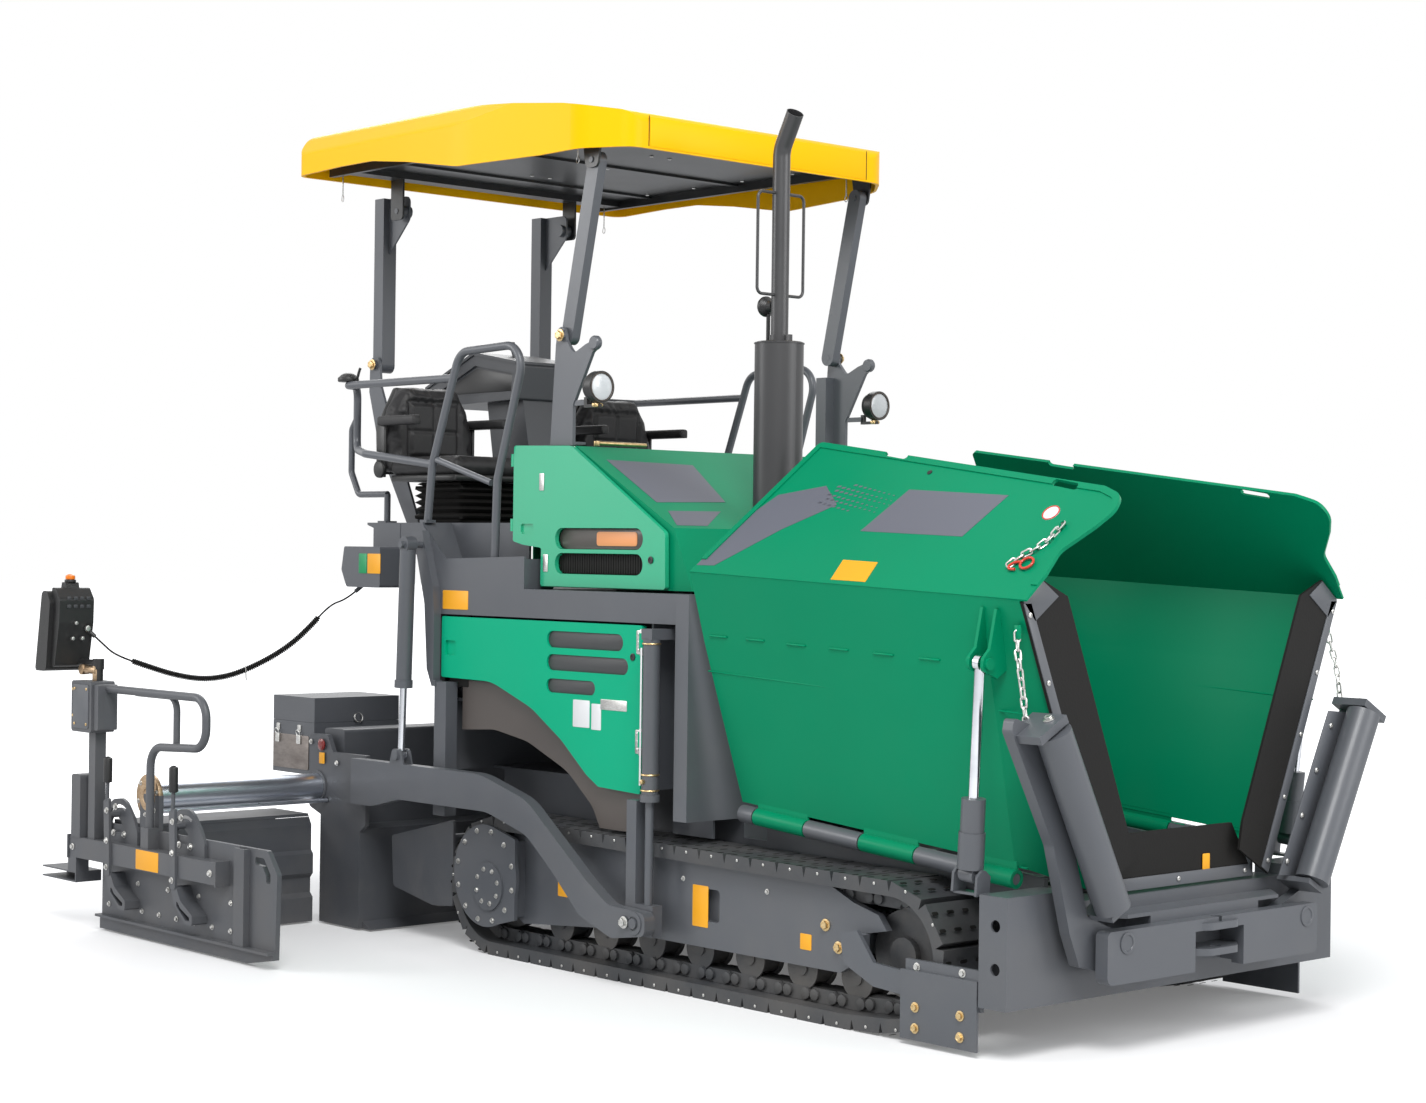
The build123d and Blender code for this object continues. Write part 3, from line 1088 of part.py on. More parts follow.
def lift_line():
    top = Vector(lift_pin_top[0], lift_y, lift_pin_top[1])
    low = Vector(lift_pin_arm[0], lift_y, lift_pin_arm[1])
    axis = (low - top).normalized()
    return (low - top).length, lambda d: tuple(top + axis * d)


def lift_barrels():
    length, at = lift_line()
    barrel = rod(at(20), at(590), lift_barrel_radius) + rod(at(560), at(592), lift_barrel_radius + 5)
    barrel += rod_y(*lift_pin_top, lift_y - 24, lift_y + 24, 34)
    barrel -= rod_y(*lift_pin_top, lift_y - 40, lift_y + 40, lift_pin_radius + pin_gap)
    barrel -= rod(at(300), at(600), lift_rod_radius + slide_gap)
    return pair(barrel)


def lift_rods():
    length, at = lift_line()
    bar = rod(at(520), at(length), lift_rod_radius)
    return pair(bar + rod_y(*lift_pin_arm, lift_y - 12, lift_y + 12, lift_eye))


def levelling_cylinders():
    x, y = tow_pin[0], arm_in - 20
    barrel = rod((x, y, 726), (x, y, 1300), 32) + rod((x, y, 700), (x, y, 726), 37)
    bar = rod((x, y, 317), (x, y, 726), 16)
    clevis = box(x - 115, x + 40, y - 33, arm_in - 3 - run_gap / 2, 200, 317)
    guide = box(x - 115, x - 60, y - 33, y + 13, 300, 700)
    pin = rod_y(*tow_pin, y + 14, arm_out + 10, tow_pin_radius)
    top_lug = box(x - 30, x + 30, hinge_y, y + 25, 1300, 1340)
    return pair(barrel + bar + clevis + pin + top_lug, guide)


def auger():
    """Shaft with a helical blade: a sector twisted along the axis, so its thickness is even."""
    x, z = auger_axis
    start, length = 100, auger_pitch * auger_turns
    half_angle = radians(180 * auger_blade / auger_pitch)
    steps = 3
    turns = [half_angle * k / steps for k in range(-steps, steps + 1)]
    arc = [(auger_radius * cos(a), auger_radius * sin(a)) for a in turns]
    root = [(0.6 * auger_shaft * cos(a), 0.6 * auger_shaft * sin(a)) for a in turns]
    sector = Plane.XY * make_face(Polyline(*arc, *root[::-1], close=True))
    blade = Solid.extrude_linear_with_rotation(
        sector.face(), center=(0, 0, 0), normal=(0, 0, length), angle=360 * auger_turns)
    place = Plane(origin=(x, start, z), x_dir=(1, 0, 0), z_dir=(0, 1, 0))
    return [place * Part([blade]) + rod_y(x, z, 60, track_out - 36, auger_shaft)]


def auger_drive():
    x, z = auger_axis
    gear_case = slab_y([(x - 60, 200, 30), (x + 60, 200, 30), (x + 60, 480), (frame_rear, 480),
                        (frame_rear, 560), (x - 60, 560, 20)], -45, 45)
    # side plates that keep the mix in front of the screed
    out = track_out - 18
    side = slab_y([(-1225, 413, 15), (-945, 479, 15), (-790, 516, 15), (-790, 162, 15), (-928, 151, 15),
                   (-1210, 202, 15)], out - 12, out)
    over = z + auger_radius + run_gap
    hanger = box(x - 20, x + 20, frame_half - 20, out - 12, over, over + 12)
    hanger += box(x - 20, frame_rear, frame_half - 20, frame_half + 20, over, over + 12)
    return [gear_case] + pair(side + hanger)


# ---- remote panel's cord -----------------------------------------------------------
cord_gland = (-2150.7, 1742.3, 1232.5)      # end of the panel's gland, on the left side's twin
box_gland = (-1596, -796, 1434)
panel_lead = [(-2150.7, -1742.3, 1232.5), (-2124.975, -1720.025, 1202.875), (-2074, -1688.4, 1155.2),
              (-2042, -1630, 1132)]
coil_route = [(-2042, -1630, 1132), (-2002, -1557, 1103), (-1958, -1476, 1073), (-1901, -1373, 1052),
              (-1849, -1277, 1064), (-1800, -1189, 1103), (-1750, -1096, 1159), (-1699, -1004, 1237),
              (-1662, -937, 1324)]
box_lead = [(-1662, -937, 1324), (-1639.8, -896.8, 1376.2), (-1612.5, -832.3, 1399.9), box_gland]


def cord_tube(points, diameter):
    """Tube along straight runs joined by tangent arcs."""
    stops = [Vector(*p) for p in points]
    runs = [b - a for a, b in zip(stops, stops[1:])]
    radii = []
    for before, after in zip(runs, runs[1:]):
        turn = radians(before.get_angle(after))
        radii.append(0.45 * min(before.length, after.length) / tan(turn / 2))
    print("cord radii", [round(r) for r in radii], "of diameter", diameter)
    path = FilletPolyline(*stops, radius=radii)
    tube = sweep(Plane(origin=path @ 0, z_dir=path % 0) * Circle(diameter / 2), path=path)
    print("cord volume", round(tube.volume), "section by length", round(pi * diameter ** 2 / 4 * path.length))
    return tube


def curly_cord():
    return [cord_tube(coil_route, cord_wide)]


def cord_lead_panel():
    return [cord_tube(panel_lead, lead_wide)]


def cord_lead_box():
    return [cord_tube(box_lead, lead_wide)]


nodes = {
    "main_frame": main_frame(),
    "front_bumper": front_bumper(),
    "conveyor": conveyor(),
    "bottom_flap": bottom_flap(),
    "tracks": tracks(),
    "track_wheels": track_wheels(),
    "track_frames": track_frames(),
    "track_scrapers": track_scrapers(),
    "engine_block": engine_block(),
    "fenders": fenders(),
    "hood": hood(),
    "exhaust": exhaust(),
    "platform": platform(),
    "seats": seats(),
    "console": console(),
    "handrails": handrails(),
    "roof_brackets": roof_brackets(),
    "lamps": lamps(),
    "front_posts": front_posts(),
    "rear_posts": rear_posts(),
    "roof": roof(),
    "roof_frame": roof_frame(),
    "tow_arms": tow_arms(),
    "screed_frame": screed_frame(),
    "tool_box": tool_box(),
    "lift_barrels": lift_barrels(),
    "lift_rods": lift_rods(),
    "levelling_cylinders": levelling_cylinders(),
    "auger_drive": auger_drive(),
    "curly_cord": curly_cord(),
    "cord_lead_box": cord_lead_box(),
    "cord_lead_panel": cord_lead_panel(),
}
sided = {
    "wing": wing, "wing_flap": wing_flap, "wing_barrel": wing_barrel, "wing_rod": wing_rod,
    "push_arm": push_arm, "push_roller": push_roller, "upper_door": door_upper, "lower_door": door_lower,
    "extension": extension, "extension_tube": extension_tube, "end_plate": end_plate,
    "remote_panel": remote_panel, "auger": auger, "tool_lid": tool_lid,
}
for name, make in sided.items():
    left = make()
    nodes[name + "_L"] = left
    nodes[name + "_R"] = [right(piece) for piece in left]

os.makedirs("parts", exist_ok=True)
for name, pieces in nodes.items():
    body = Part() + pieces
    solids = body.solids()
    export_step(solids[0] if len(solids) == 1 else Compound(solids), f"parts/{name}.step")
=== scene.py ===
import bpy
import bmesh
import json
from math import atan2, cos, hypot, pi, radians, sin, sqrt
from mathutils import Matrix, Vector


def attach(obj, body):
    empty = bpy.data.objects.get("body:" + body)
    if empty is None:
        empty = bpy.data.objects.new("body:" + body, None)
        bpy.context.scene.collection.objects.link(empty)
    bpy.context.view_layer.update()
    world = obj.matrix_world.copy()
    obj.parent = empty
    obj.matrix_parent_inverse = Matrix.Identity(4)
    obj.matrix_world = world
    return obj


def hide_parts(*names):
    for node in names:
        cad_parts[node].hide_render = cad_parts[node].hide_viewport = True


# Tracked asphalt paver: finishes, upholstery, cord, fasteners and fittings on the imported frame.
# Metres, in the part's own frame: +X forward, +Y to the machine's left, +Z up.

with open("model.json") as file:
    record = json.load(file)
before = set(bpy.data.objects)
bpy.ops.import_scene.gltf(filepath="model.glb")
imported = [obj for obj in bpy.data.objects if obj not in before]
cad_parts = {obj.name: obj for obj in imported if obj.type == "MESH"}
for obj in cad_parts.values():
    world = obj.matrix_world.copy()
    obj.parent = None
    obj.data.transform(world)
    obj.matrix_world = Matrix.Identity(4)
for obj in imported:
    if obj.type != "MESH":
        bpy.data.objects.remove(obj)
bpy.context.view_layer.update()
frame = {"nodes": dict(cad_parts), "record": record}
sides = {"L": 1, "R": -1}


def deselect():
    if bpy.context.object and bpy.context.object.mode != "OBJECT":
        bpy.ops.object.mode_set(mode="OBJECT")
    bpy.ops.object.select_all(action="DESELECT")


def make_active(item):
    deselect()
    item.select_set(True)
    bpy.context.view_layer.objects.active = item


def new_object(name, data):
    item = bpy.data.objects.new(name, data)
    bpy.context.scene.collection.objects.link(item)
    return item


# ---- camera ----
camera_place = Vector((7.569, -7.033, 1.639))
camera_turn = 0.738          # radians from -X towards +Y
camera_tip = -0.001
camera_roll = 0.013
lens = 63.77


def aim_camera():
    data = bpy.data.cameras.new("Camera")
    data.sensor_width = 36.0
    data.lens = lens
    data.clip_end = 200.0
    camera = new_object("Camera", data)
    look = Vector((-cos(camera_turn) * cos(camera_tip), sin(camera_turn) * cos(camera_tip), sin(camera_tip)))
    right = look.cross(Vector((0, 0, 1))).normalized()
    up = right.cross(look)
    right, up = (right * cos(camera_roll) + up * sin(camera_roll),
                 up * cos(camera_roll) - right * sin(camera_roll))
    turn = Matrix((right, up, -look)).transposed()
    camera.matrix_world = Matrix.Translation(camera_place) @ turn.to_4x4()
    bpy.context.scene.camera = camera


aim_camera()


# ---- the remote panel's cord ----
panel_lead = [(-2.1507, -1.7423, 1.2325), (-2.12498, -1.72003, 1.20288), (-2.074, -1.6884, 1.1552),
              (-2.042, -1.63, 1.132)]
coil_route = [(-2.042, -1.63, 1.132), (-2.002, -1.557, 1.103), (-1.958, -1.476, 1.073),
              (-1.901, -1.373, 1.052), (-1.849, -1.277, 1.064), (-1.8, -1.189, 1.103),
              (-1.75, -1.096, 1.159), (-1.699, -1.004, 1.237), (-1.662, -0.937, 1.324)]
box_lead = [(-1.662, -0.937, 1.324), (-1.6398, -0.8968, 1.3762), (-1.6125, -0.8323, 1.3999),
            (-1.596, -0.796, 1.434)]
coil_width, lead_width, wire_radius, coil_turns = 0.027, 0.008, 0.0034, 104


def new_curve(name, kind, points, radius, smooth):
    data = bpy.data.curves.new(name, "CURVE")
    data.dimensions = "3D"
    data.bevel_depth = radius
    data.bevel_resolution = smooth
    data.use_fill_caps = True
    spline = data.splines.new(kind)
    spline.points.add(len(points) - 1)
    for stop, place in zip(spline.points, points):
        stop.co = (*place, 1)
    return new_object(name, data)


def route_curve(name, points, radius=0.0):
    """Smooth line led by its points, round where it has a radius."""
    item = new_curve(name, "NURBS", points, radius, 3)
    item.data.resolution_u = 24
    item.data.splines[0].order_u = 3
    item.data.splines[0].use_endpoint_u = True
    return item


def line_through(points):
    """Close points along the smooth line that a few points lead."""
    guide = route_curve("guide", points)
    mesh = bpy.data.meshes.new_from_object(guide)
    line = [vertex.co.copy() for vertex in mesh.vertices]
    bpy.data.meshes.remove(mesh)
    bpy.data.objects.remove(guide)
    return line


def even_stops(points, count):
    """The same line at evenly spaced stops, each with its direction, and its length."""
    lengths = [0.0]
    for a, b in zip(points, points[1:]):
        lengths.append(lengths[-1] + (b - a).length)
    stops, k = [], 0
    for n in range(count):
        s = lengths[-1] * n / (count - 1)
        while k < len(points) - 2 and lengths[k + 1] < s:
            k += 1
        run = points[k + 1] - points[k]
        share = (s - lengths[k]) / run.length
        stops.append((points[k] + run * share, run.normalized()))
    return stops, lengths[-1]


def wound_wire(name, route):
    """Wire wound round a route, its end turns drawn in to the middle line."""
    per_turn, radius = 14, coil_width / 2 - wire_radius
    stops, length = even_stops(route, coil_turns * per_turn + 1)
    side = stops[0][1].orthogonal().normalized()
    points = []
    for n, (place, along) in enumerate(stops):
        side = (side - along * side.dot(along)).normalized()
        up = along.cross(side)
        angle = 2 * pi * n / per_turn
        reach = radius * min(1.0, n / per_turn, (len(stops) - 1 - n) / per_turn)
        points.append(place + (side * cos(angle) + up * sin(angle)) * reach)
    item = new_curve(name, "POLY", points, wire_radius, 2)
    make_active(item)
    bpy.ops.object.convert(target="MESH")
    return item, length


# Curly cord between its two plain leads, from the gland on the panel to the control box.
coil_middle = line_through(coil_route)
coil, coil_length = wound_wire("curly_cord_coil", coil_middle)
leads = [(route_curve(name, points, lead_width / 2), points) for name, points in (
    ("panel_lead", panel_lead), ("box_lead", box_lead))]


# ---- ways of shaping ----
def open_mesh(item, mode="FACE"):
    make_active(item)
    bpy.ops.object.mode_set(mode="EDIT")
    bpy.ops.mesh.select_mode(type=mode)
    bpy.ops.mesh.select_all(action="DESELECT")


def choose(item, wanted, kind="faces"):
    """Select the faces, edges or corners of an open mesh for which wanted is true."""
    mesh = bmesh.from_edit_mesh(item.data)
    for element in getattr(mesh, kind):
        element.select_set(bool(wanted(element)))
    if kind != "verts":
        mesh.select_flush_mode()
    bmesh.update_edit_mesh(item.data)


def pull(item, wanted, shift, kind="verts"):
    """Move the corners or faces for which wanted is true."""
    open_mesh(item, "VERT" if kind == "verts" else "FACE")
    choose(item, wanted, kind)
    bpy.ops.transform.translate(value=shift)
    deselect()
    return item


def place_in_mesh(item):
    make_active(item)
    bpy.ops.object.transform_apply(location=True, rotation=True, scale=True)


def joined(items):
    deselect()
    for item in items:
        item.select_set(True)
    bpy.context.view_layer.objects.active = items[0]
    if len(items) > 1:
        bpy.ops.object.join()
    return items[0]


def settle(item, name, finish, body="machine", angle=38):
    """Finished piece, or several as one: its name, its finish and the body that it rides on."""
    if isinstance(item, list):
        item = joined(item)
    place_in_mesh(item)
    bpy.ops.object.shade_smooth_by_angle(angle=radians(angle))
    item.name = item.data.name = name
    item.data.materials.clear()
    item.data.materials.append(finish)
    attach(item, body)
    return item


def block(low, high, edge=0.003, segments=2):
    """Bar or housing between two corners, with its edges rounded."""
    low, high = Vector(low), Vector(high)
    deselect()
    bpy.ops.mesh.primitive_cube_add(size=1, location=(low + high) / 2, scale=high - low)
    item = bpy.context.object
    place_in_mesh(item)
    open_mesh(item, "EDGE")
    bpy.ops.mesh.select_all(action="SELECT")
    bpy.ops.mesh.bevel(offset=edge, segments=segments, affect="EDGES")
    deselect()
    return item


def facing(axis):
    return Vector(axis).normalized().to_track_quat("Z", "Y")


def round_bar(start, end, radius, sides=24, edge=0.0):
    """Round bar from start to end, with its two rims rounded."""
    start, end = Vector(start), Vector(end)
    deselect()
    bpy.ops.mesh.primitive_cylinder_add(vertices=sides, radius=radius, depth=(end - start).length,
                                        location=(start + end) / 2, rotation=facing(end - start).to_euler())
    item = bpy.context.object
    place_in_mesh(item)
    axis = (end - start).normalized()
    open_mesh(item, "EDGE")
    choose(item, lambda e: abs((e.verts[1].co - e.verts[0].co).normalized().dot(axis)) < 0.3, "edges")
    bpy.ops.mesh.bevel(offset=edge or radius * 0.12, segments=2, affect="EDGES")
    deselect()
    return item


def stepped(item, axis, steps):
    """Draw the end face of a round piece inwards and out, step by step: (inset, rise)."""
    axis = Vector(axis).normalized()
    open_mesh(item)
    reach = max(vertex.co.dot(axis) for vertex in item.data.vertices)
    choose(item, lambda f: f.normal.dot(axis) > 0.99 and f.calc_center_median().dot(axis) > reach - 1e-4)
    for inset, rise in steps:
        bpy.ops.mesh.inset(thickness=inset, depth=0)
        if rise:
            bpy.ops.transform.translate(value=axis * rise)
    deselect()
    return item


def disc(start, run, radius, sides=24, edge=0.0, steps=()):
    """Round bar from start along run, its end face drawn in steps."""
    item = round_bar(start, Vector(start) + Vector(run), radius, sides, edge)
    return stepped(item, run, steps) if steps else item


def cut_plate(corners, thick, edge=0.0):
    """Flat plate cut to corners that lie in one plane; thick is added behind the corners' face."""
    deselect()
    bpy.ops.mesh.primitive_circle_add(vertices=len(corners), radius=0.1, fill_type="NGON")
    item = bpy.context.object
    open_mesh(item, "VERT")
    mesh = bmesh.from_edit_mesh(item.data)
    for k, corner in enumerate(corners):
        mesh.verts.ensure_lookup_table()
        for vertex in mesh.verts:
            vertex.select_set(vertex.index == k)
        move = Vector(corner) - mesh.verts[k].co
        bmesh.update_edit_mesh(item.data)
        bpy.ops.transform.translate(value=move)
        mesh = bmesh.from_edit_mesh(item.data)
    mesh.normal_update()
    mesh.faces.ensure_lookup_table()
    back = -mesh.faces[0].normal * thick
    bpy.ops.mesh.select_all(action="SELECT")
    bpy.ops.mesh.extrude_region_move(TRANSFORM_OT_translate={"value": back})
    bpy.ops.mesh.select_all(action="SELECT")
    bpy.ops.mesh.normals_make_consistent(inside=False)
    if edge:
        bpy.ops.mesh.bevel(offset=edge, segments=2, affect="EDGES")
    deselect()
    return item


def facing_plate(side, x, shape, thick, edge):
    """Plate cut across the machine at x: the shape's (y, z) corners run the other way on the left."""
    turned = shape if sides[side] < 0 else shape[::-1]
    return cut_plate([(x, sides[side] * y, z) for y, z in turned], thick, edge)


def ring(middle, axis, radius, wire, turns=20, sides=8):
    deselect()
    bpy.ops.mesh.primitive_torus_add(major_segments=turns, minor_segments=sides, major_radius=radius,
                                     minor_radius=wire, location=middle, rotation=facing(axis).to_euler())
    item = bpy.context.object
    place_in_mesh(item)
    return item


def bent_rod(points, radius):
    """Wire or hose through points, as a closed tube."""
    item = route_curve("bent_rod", points, radius)
    item.data.resolution_u = 8
    item.data.bevel_resolution = 2
    make_active(item)
    bpy.ops.object.convert(target="MESH")
    return item


def copies(pattern, places):
    """Copies of a pattern, each with its own mesh, set in their places and joined."""
    made = []
    for place in places:
        made.append(new_object(pattern.name, pattern.data.copy()))
        made[-1].matrix_world = place
    item = joined(made)
    place_in_mesh(item)
    return item


def at(place, axis=(0, 0, 1), scale=1.0, turn=0.0):
    """Place for a copy: the pattern's +Z turned to the axis."""
    turned = facing(axis).to_matrix().to_4x4() @ Matrix.Rotation(turn, 4, "Z")
    return Matrix.Translation(Vector(place)) @ turned @ Matrix.Scale(scale, 4)


# ---- patterns for what repeats ----
def make_hex_bolt():
    """Six-sided head on a washer, 20 mm across its corners, standing on z = 0."""
    washer = disc((0, 0, 0), (0, 0, 0.0025), 0.0145, 20, 0.0006)
    head = disc((0, 0, 0.0025), (0, 0, 0.0075), 0.01, 6, 0.001, [(0.0018, 0.0), (0.0004, -0.0006)])
    return joined([head, washer])


def make_chain_link():
    """Welded link, 44 mm long and 26 mm wide, lying along x."""
    link = ring((0, 0, 0), (0, 0, 1), 0.0095, 0.0034, 16)
    pull(link, lambda v: v.co.x > 1e-5, (0.0095, 0, 0))
    return pull(link, lambda v: v.co.x < 1e-5, (-0.0095, 0, 0))


hex_bolt, chain_link = make_hex_bolt(), make_chain_link()
# Button head with a hexagon socket, 20 mm wide.
round_bolt = disc((0, 0, 0), (0, 0, 0.0045), 0.01, 18, 0.0016,
                  [(0.0022, 0.0012), (0.0024, 0.0), (0.0004, -0.003)])


def bolts(name, places, finish, body="machine", scale=1.0, pattern=hex_bolt):
    """Row of fasteners; each place is (point, outward axis)."""
    item = copies(pattern, [at(p, axis, scale, 0.4 * k) for k, (p, axis) in enumerate(places)])
    return settle(item, name, finish, body)


def chain(name, points, body):
    """Zinc chain whose links turn a quarter from one to the next."""
    line = line_through(points)
    link_pitch = 0.031
    count = max(3, round(even_stops(line, 2)[1] / link_pitch) + 1)
    places = []
    for k, (place, along) in enumerate(even_stops(line, count)[0]):
        turn = along.to_track_quat("X", "Z").to_matrix().to_4x4() @ Matrix.Rotation(pi / 2 * (k % 2), 4, "X")
        places.append(Matrix.Translation(place) @ turn)
    return settle(copies(chain_link, places), name, zinc, body)


# ---- shader groups and materials ----
def feed(tree, item, inputs):
    """Set inputs of a node, each to a value or from another node's output."""
    for title, value in inputs.items():
        if isinstance(value, bpy.types.NodeSocket):
            tree.links.new(value, item.inputs[title])
        else:
            item.inputs[title].default_value = value


def node(tree, kind, inputs, **settings):
    item = tree.nodes.new("ShaderNode" + kind)
    for title, value in settings.items():
        setattr(item, title, value)
    feed(tree, item, inputs)
    return item


def object_place(tree):
    return node(tree, "TexCoord", {}).outputs["Object"]


def noise(tree, place, scale, detail, rough=0.6):
    inputs = {"Vector": place, "Scale": scale, "Detail": detail, "Roughness": rough}
    return node(tree, "TexNoise", inputs).outputs["Fac"]


def spread(tree, value, low, high, to_low=0.0, to_high=1.0):
    """Value stretched from one range to another, held at the ends."""
    inputs = {"Value": value, "From Min": low, "From Max": high, "To Min": to_low, "To Max": to_high}
    return node(tree, "MapRange", inputs).outputs[0]


def maths(tree, first, second, operation="MULTIPLY"):
    return node(tree, "Math", {0: first, 1: second}, operation=operation).outputs[0]


def mixed(tree, share, first, second):
    return node(tree, "Mix", {0: share, 6: first, 7: second}, data_type="RGBA").outputs[2]


def relief(tree, height, strength, distance):
    inputs = {"Height": height, "Strength": strength, "Distance": distance}
    return node(tree, "Bump", inputs).outputs["Normal"]


def node_group(name, inputs):
    """Group of nodes that turns its inputs into a colour, a roughness and a height."""
    group = bpy.data.node_groups.new(name, "ShaderNodeTree")
    for title, value in inputs.items():
        kind = "NodeSocketColor" if isinstance(value, tuple) else "NodeSocketFloat"
        group.interface.new_socket(title, in_out="INPUT", socket_type=kind).default_value = value
    for title, kind in (("Color", "Color"), ("Roughness", "Float"), ("Height", "Float")):
        group.interface.new_socket(title, in_out="OUTPUT", socket_type="NodeSocket" + kind)
    return group, group.nodes.new("NodeGroupInput").outputs, group.nodes.new("NodeGroupOutput")


def make_paint_group():
    """Sprayed paint: faint cloudiness, road dust that settles low down and in patches."""
    tree, inlet, outlet = node_group("Dusty paint", {
        "Paint": (0.5, 0.5, 0.5, 1), "Deep paint": (0.4, 0.4, 0.4, 1), "Dust": (0.33, 0.29, 0.24, 1),
        "Dust amount": 0.2, "Smooth": 0.3, "Rough": 0.6, "Grain scale": 300.0})
    place = object_place(tree)
    low_down = spread(tree, node(tree, "SeparateXYZ", {0: place}).outputs["Z"], 1.1, 0.1, 0.25, 1.0)
    settled = maths(tree, low_down, spread(tree, noise(tree, place, 2.3, 7.0), 0.42, 0.72))
    wash = spread(tree, noise(tree, place, 0.9, 3.0), 0.35, 0.65)
    tone = mixed(tree, wash, inlet["Deep paint"], inlet["Paint"])
    feed(tree, outlet, {
        "Color": mixed(tree, maths(tree, settled, inlet["Dust amount"]), tone, inlet["Dust"]),
        "Roughness": spread(tree, settled, 0.0, 1.0, inlet["Smooth"], inlet["Rough"]),
        "Height": noise(tree, place, inlet["Grain scale"], 2.0)})
    return tree


def make_wear_group():
    """Bare metal rubbed by use: streaks of two colours with fine scratches."""
    tree, inlet, outlet = node_group("Worn metal", {
        "Bright": (0.5, 0.5, 0.5, 1), "Dark": (0.2, 0.2, 0.2, 1), "Scale": 6.0, "Smooth": 0.3, "Rough": 0.6})
    streaked = node(tree, "Mapping", {"Vector": object_place(tree), "Scale": (1.0, 1.0, 3.0)}).outputs[0]
    cloud = noise(tree, streaked, inlet["Scale"], 9.0, 0.7)
    share = spread(tree, cloud, 0.3, 0.7)
    feed(tree, outlet, {
        "Color": mixed(tree, share, inlet["Dark"], inlet["Bright"]),
        "Roughness": spread(tree, share, 0.0, 1.0, inlet["Rough"], inlet["Smooth"]),
        "Height": cloud})
    return tree


slot_of_finish, finish_of_slot = {}, {}


def new_material(name, slot=None):
    """Plain material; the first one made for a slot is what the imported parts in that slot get."""
    material = bpy.data.materials.new(name)
    material.use_nodes = True
    if slot:
        slot_of_finish[name] = slot
        finish_of_slot.setdefault(slot, material)
    return material, material.node_tree, material.node_tree.nodes["Principled BSDF"]


def grouped(name, slot, group, look, strength, depth, own):
    """Material whose colour, roughness and relief come from a group of nodes."""
    material, tree, shader = new_material(name, slot)
    made = node(tree, "Group", {}, node_tree=group)
    feed(tree, made, look)
    feed(tree, shader, {"Base Color": made.outputs["Color"], "Roughness": made.outputs["Roughness"],
                        "Normal": relief(tree, made.outputs["Height"], strength, depth), **own})
    return material


def paint(name, slot, color, dust, smooth, rough, coat=0.0, metallic=0.0, grain=0.0006, grain_scale=300.0,
          shine=0.5, deep=0.88):
    look = {"Paint": (*color, 1), "Deep paint": (*(c * deep for c in color), 1), "Dust amount": dust,
            "Smooth": smooth, "Rough": rough, "Grain scale": grain_scale}
    own = {"Metallic": metallic, "Specular IOR Level": shine, "Coat Weight": coat, "Coat Roughness": 0.12}
    return grouped(name, slot, paint_group, look, 0.25, grain, own)


def worn(name, slot, bright, dark, scale, smooth, rough, depth=0.001):
    look = {"Bright": (*bright, 1), "Dark": (*dark, 1), "Scale": scale, "Smooth": smooth, "Rough": rough}
    return grouped(name, slot, wear_group, look, 0.3, depth, {"Metallic": 1.0})


def seat_leather():
    """Black coated cloth with a pebbled grain."""
    material, tree, shader = new_material("Seat cover", "seat_cover")
    place = object_place(tree)
    cells = node(tree, "TexVoronoi", {"Vector": place, "Scale": 420.0}).outputs["Distance"]
    cloud = noise(tree, place, 9.0, 5.0)
    tone = mixed(tree, spread(tree, cloud, 0.35, 0.7), (0.016, 0.016, 0.017, 1), (0.034, 0.033, 0.034, 1))
    feed(tree, shader, {"Base Color": tone, "Roughness": spread(tree, cloud, 0.3, 0.7, 0.42, 0.6),
                        "Specular IOR Level": 0.35, "Normal": relief(tree, cells, 0.35, 0.0008)})
    return material


paint_group, wear_group = make_paint_group(), make_wear_group()
# After the two colours: the scale of the streaks, and the roughness of the bright and of the dark ones.
worn("Chromed rod", "polished_rod", (0.86, 0.88, 0.92), (0.72, 0.74, 0.78), 3.0, 0.1, 0.2, 0.0001)
satin_chrome = worn("Satin chrome", "polished_rod", (0.8, 0.84, 0.92), (0.6, 0.64, 0.72), 2.0, 0.24, 0.36,
                    0.0001)
zinc = worn("Bright zinc", "polished_rod", (0.78, 0.78, 0.76), (0.48, 0.47, 0.45), 60.0, 0.25, 0.45, 0.0002)
brass = worn("Yellow zinc", "polished_rod", (0.86, 0.66, 0.36), (0.52, 0.36, 0.17), 50.0, 0.28, 0.5, 0.0002)
bronze = worn("Cast bronze", "polished_rod", (0.62, 0.47, 0.32), (0.36, 0.24, 0.14), 26.0, 0.35, 0.6, 0.0006)
worn("Auger casting", "auger_steel", (0.22, 0.21, 0.2), (0.07, 0.065, 0.06), 9.0, 0.4, 0.75)
# After the colour: how much dust lies on it, and its roughness where it is clean and where it is dusty.
green = paint("Green paint", "green_paint", (0.0, 0.243, 0.112), 0.03, 0.32, 0.5, shine=0.1, deep=0.94)
# Lighter copies of the one green paint for the doors: the lower door's colour holds painted light, the upper
# door's a painted reflection (its coat is real gloss). The green paint above is kept deeper, with painted
# shade, for the wings and the other green parts.
lit_door_green = paint("Green door paint with painted light", "green_paint", (0.0, 0.4, 0.21), 0.03, 0.3, 0.5, shine=0.16,
                   deep=0.96)
reflection_lit_green = paint("Glossy green with painted reflection", "green_paint", (0.02, 0.42, 0.22), 0.02, 0.14, 0.3, shine=0.6,
                    coat=0.7, deep=0.96)
anthracite = paint("Dark grey paint", "anthracite_paint", (0.098, 0.105, 0.118), 0.1, 0.36, 0.55, coat=0.08)
roof_yellow = paint("Yellow roof shell", "yellow_roof", (0.97, 0.5, 0.0), 0.0, 0.34, 0.4, shine=0.12,
                    deep=0.98)
black_rubber = paint("Black rubber", "black_rubber", (0.011, 0.0105, 0.01), 0.02, 0.6, 0.8, shine=0.2,
                     grain=0.002, grain_scale=120)
track_grey = paint("Track shoe paint", "track_rubber", (0.05, 0.053, 0.058), 0.18, 0.42, 0.7, grain=0.002,
                   grain_scale=90)
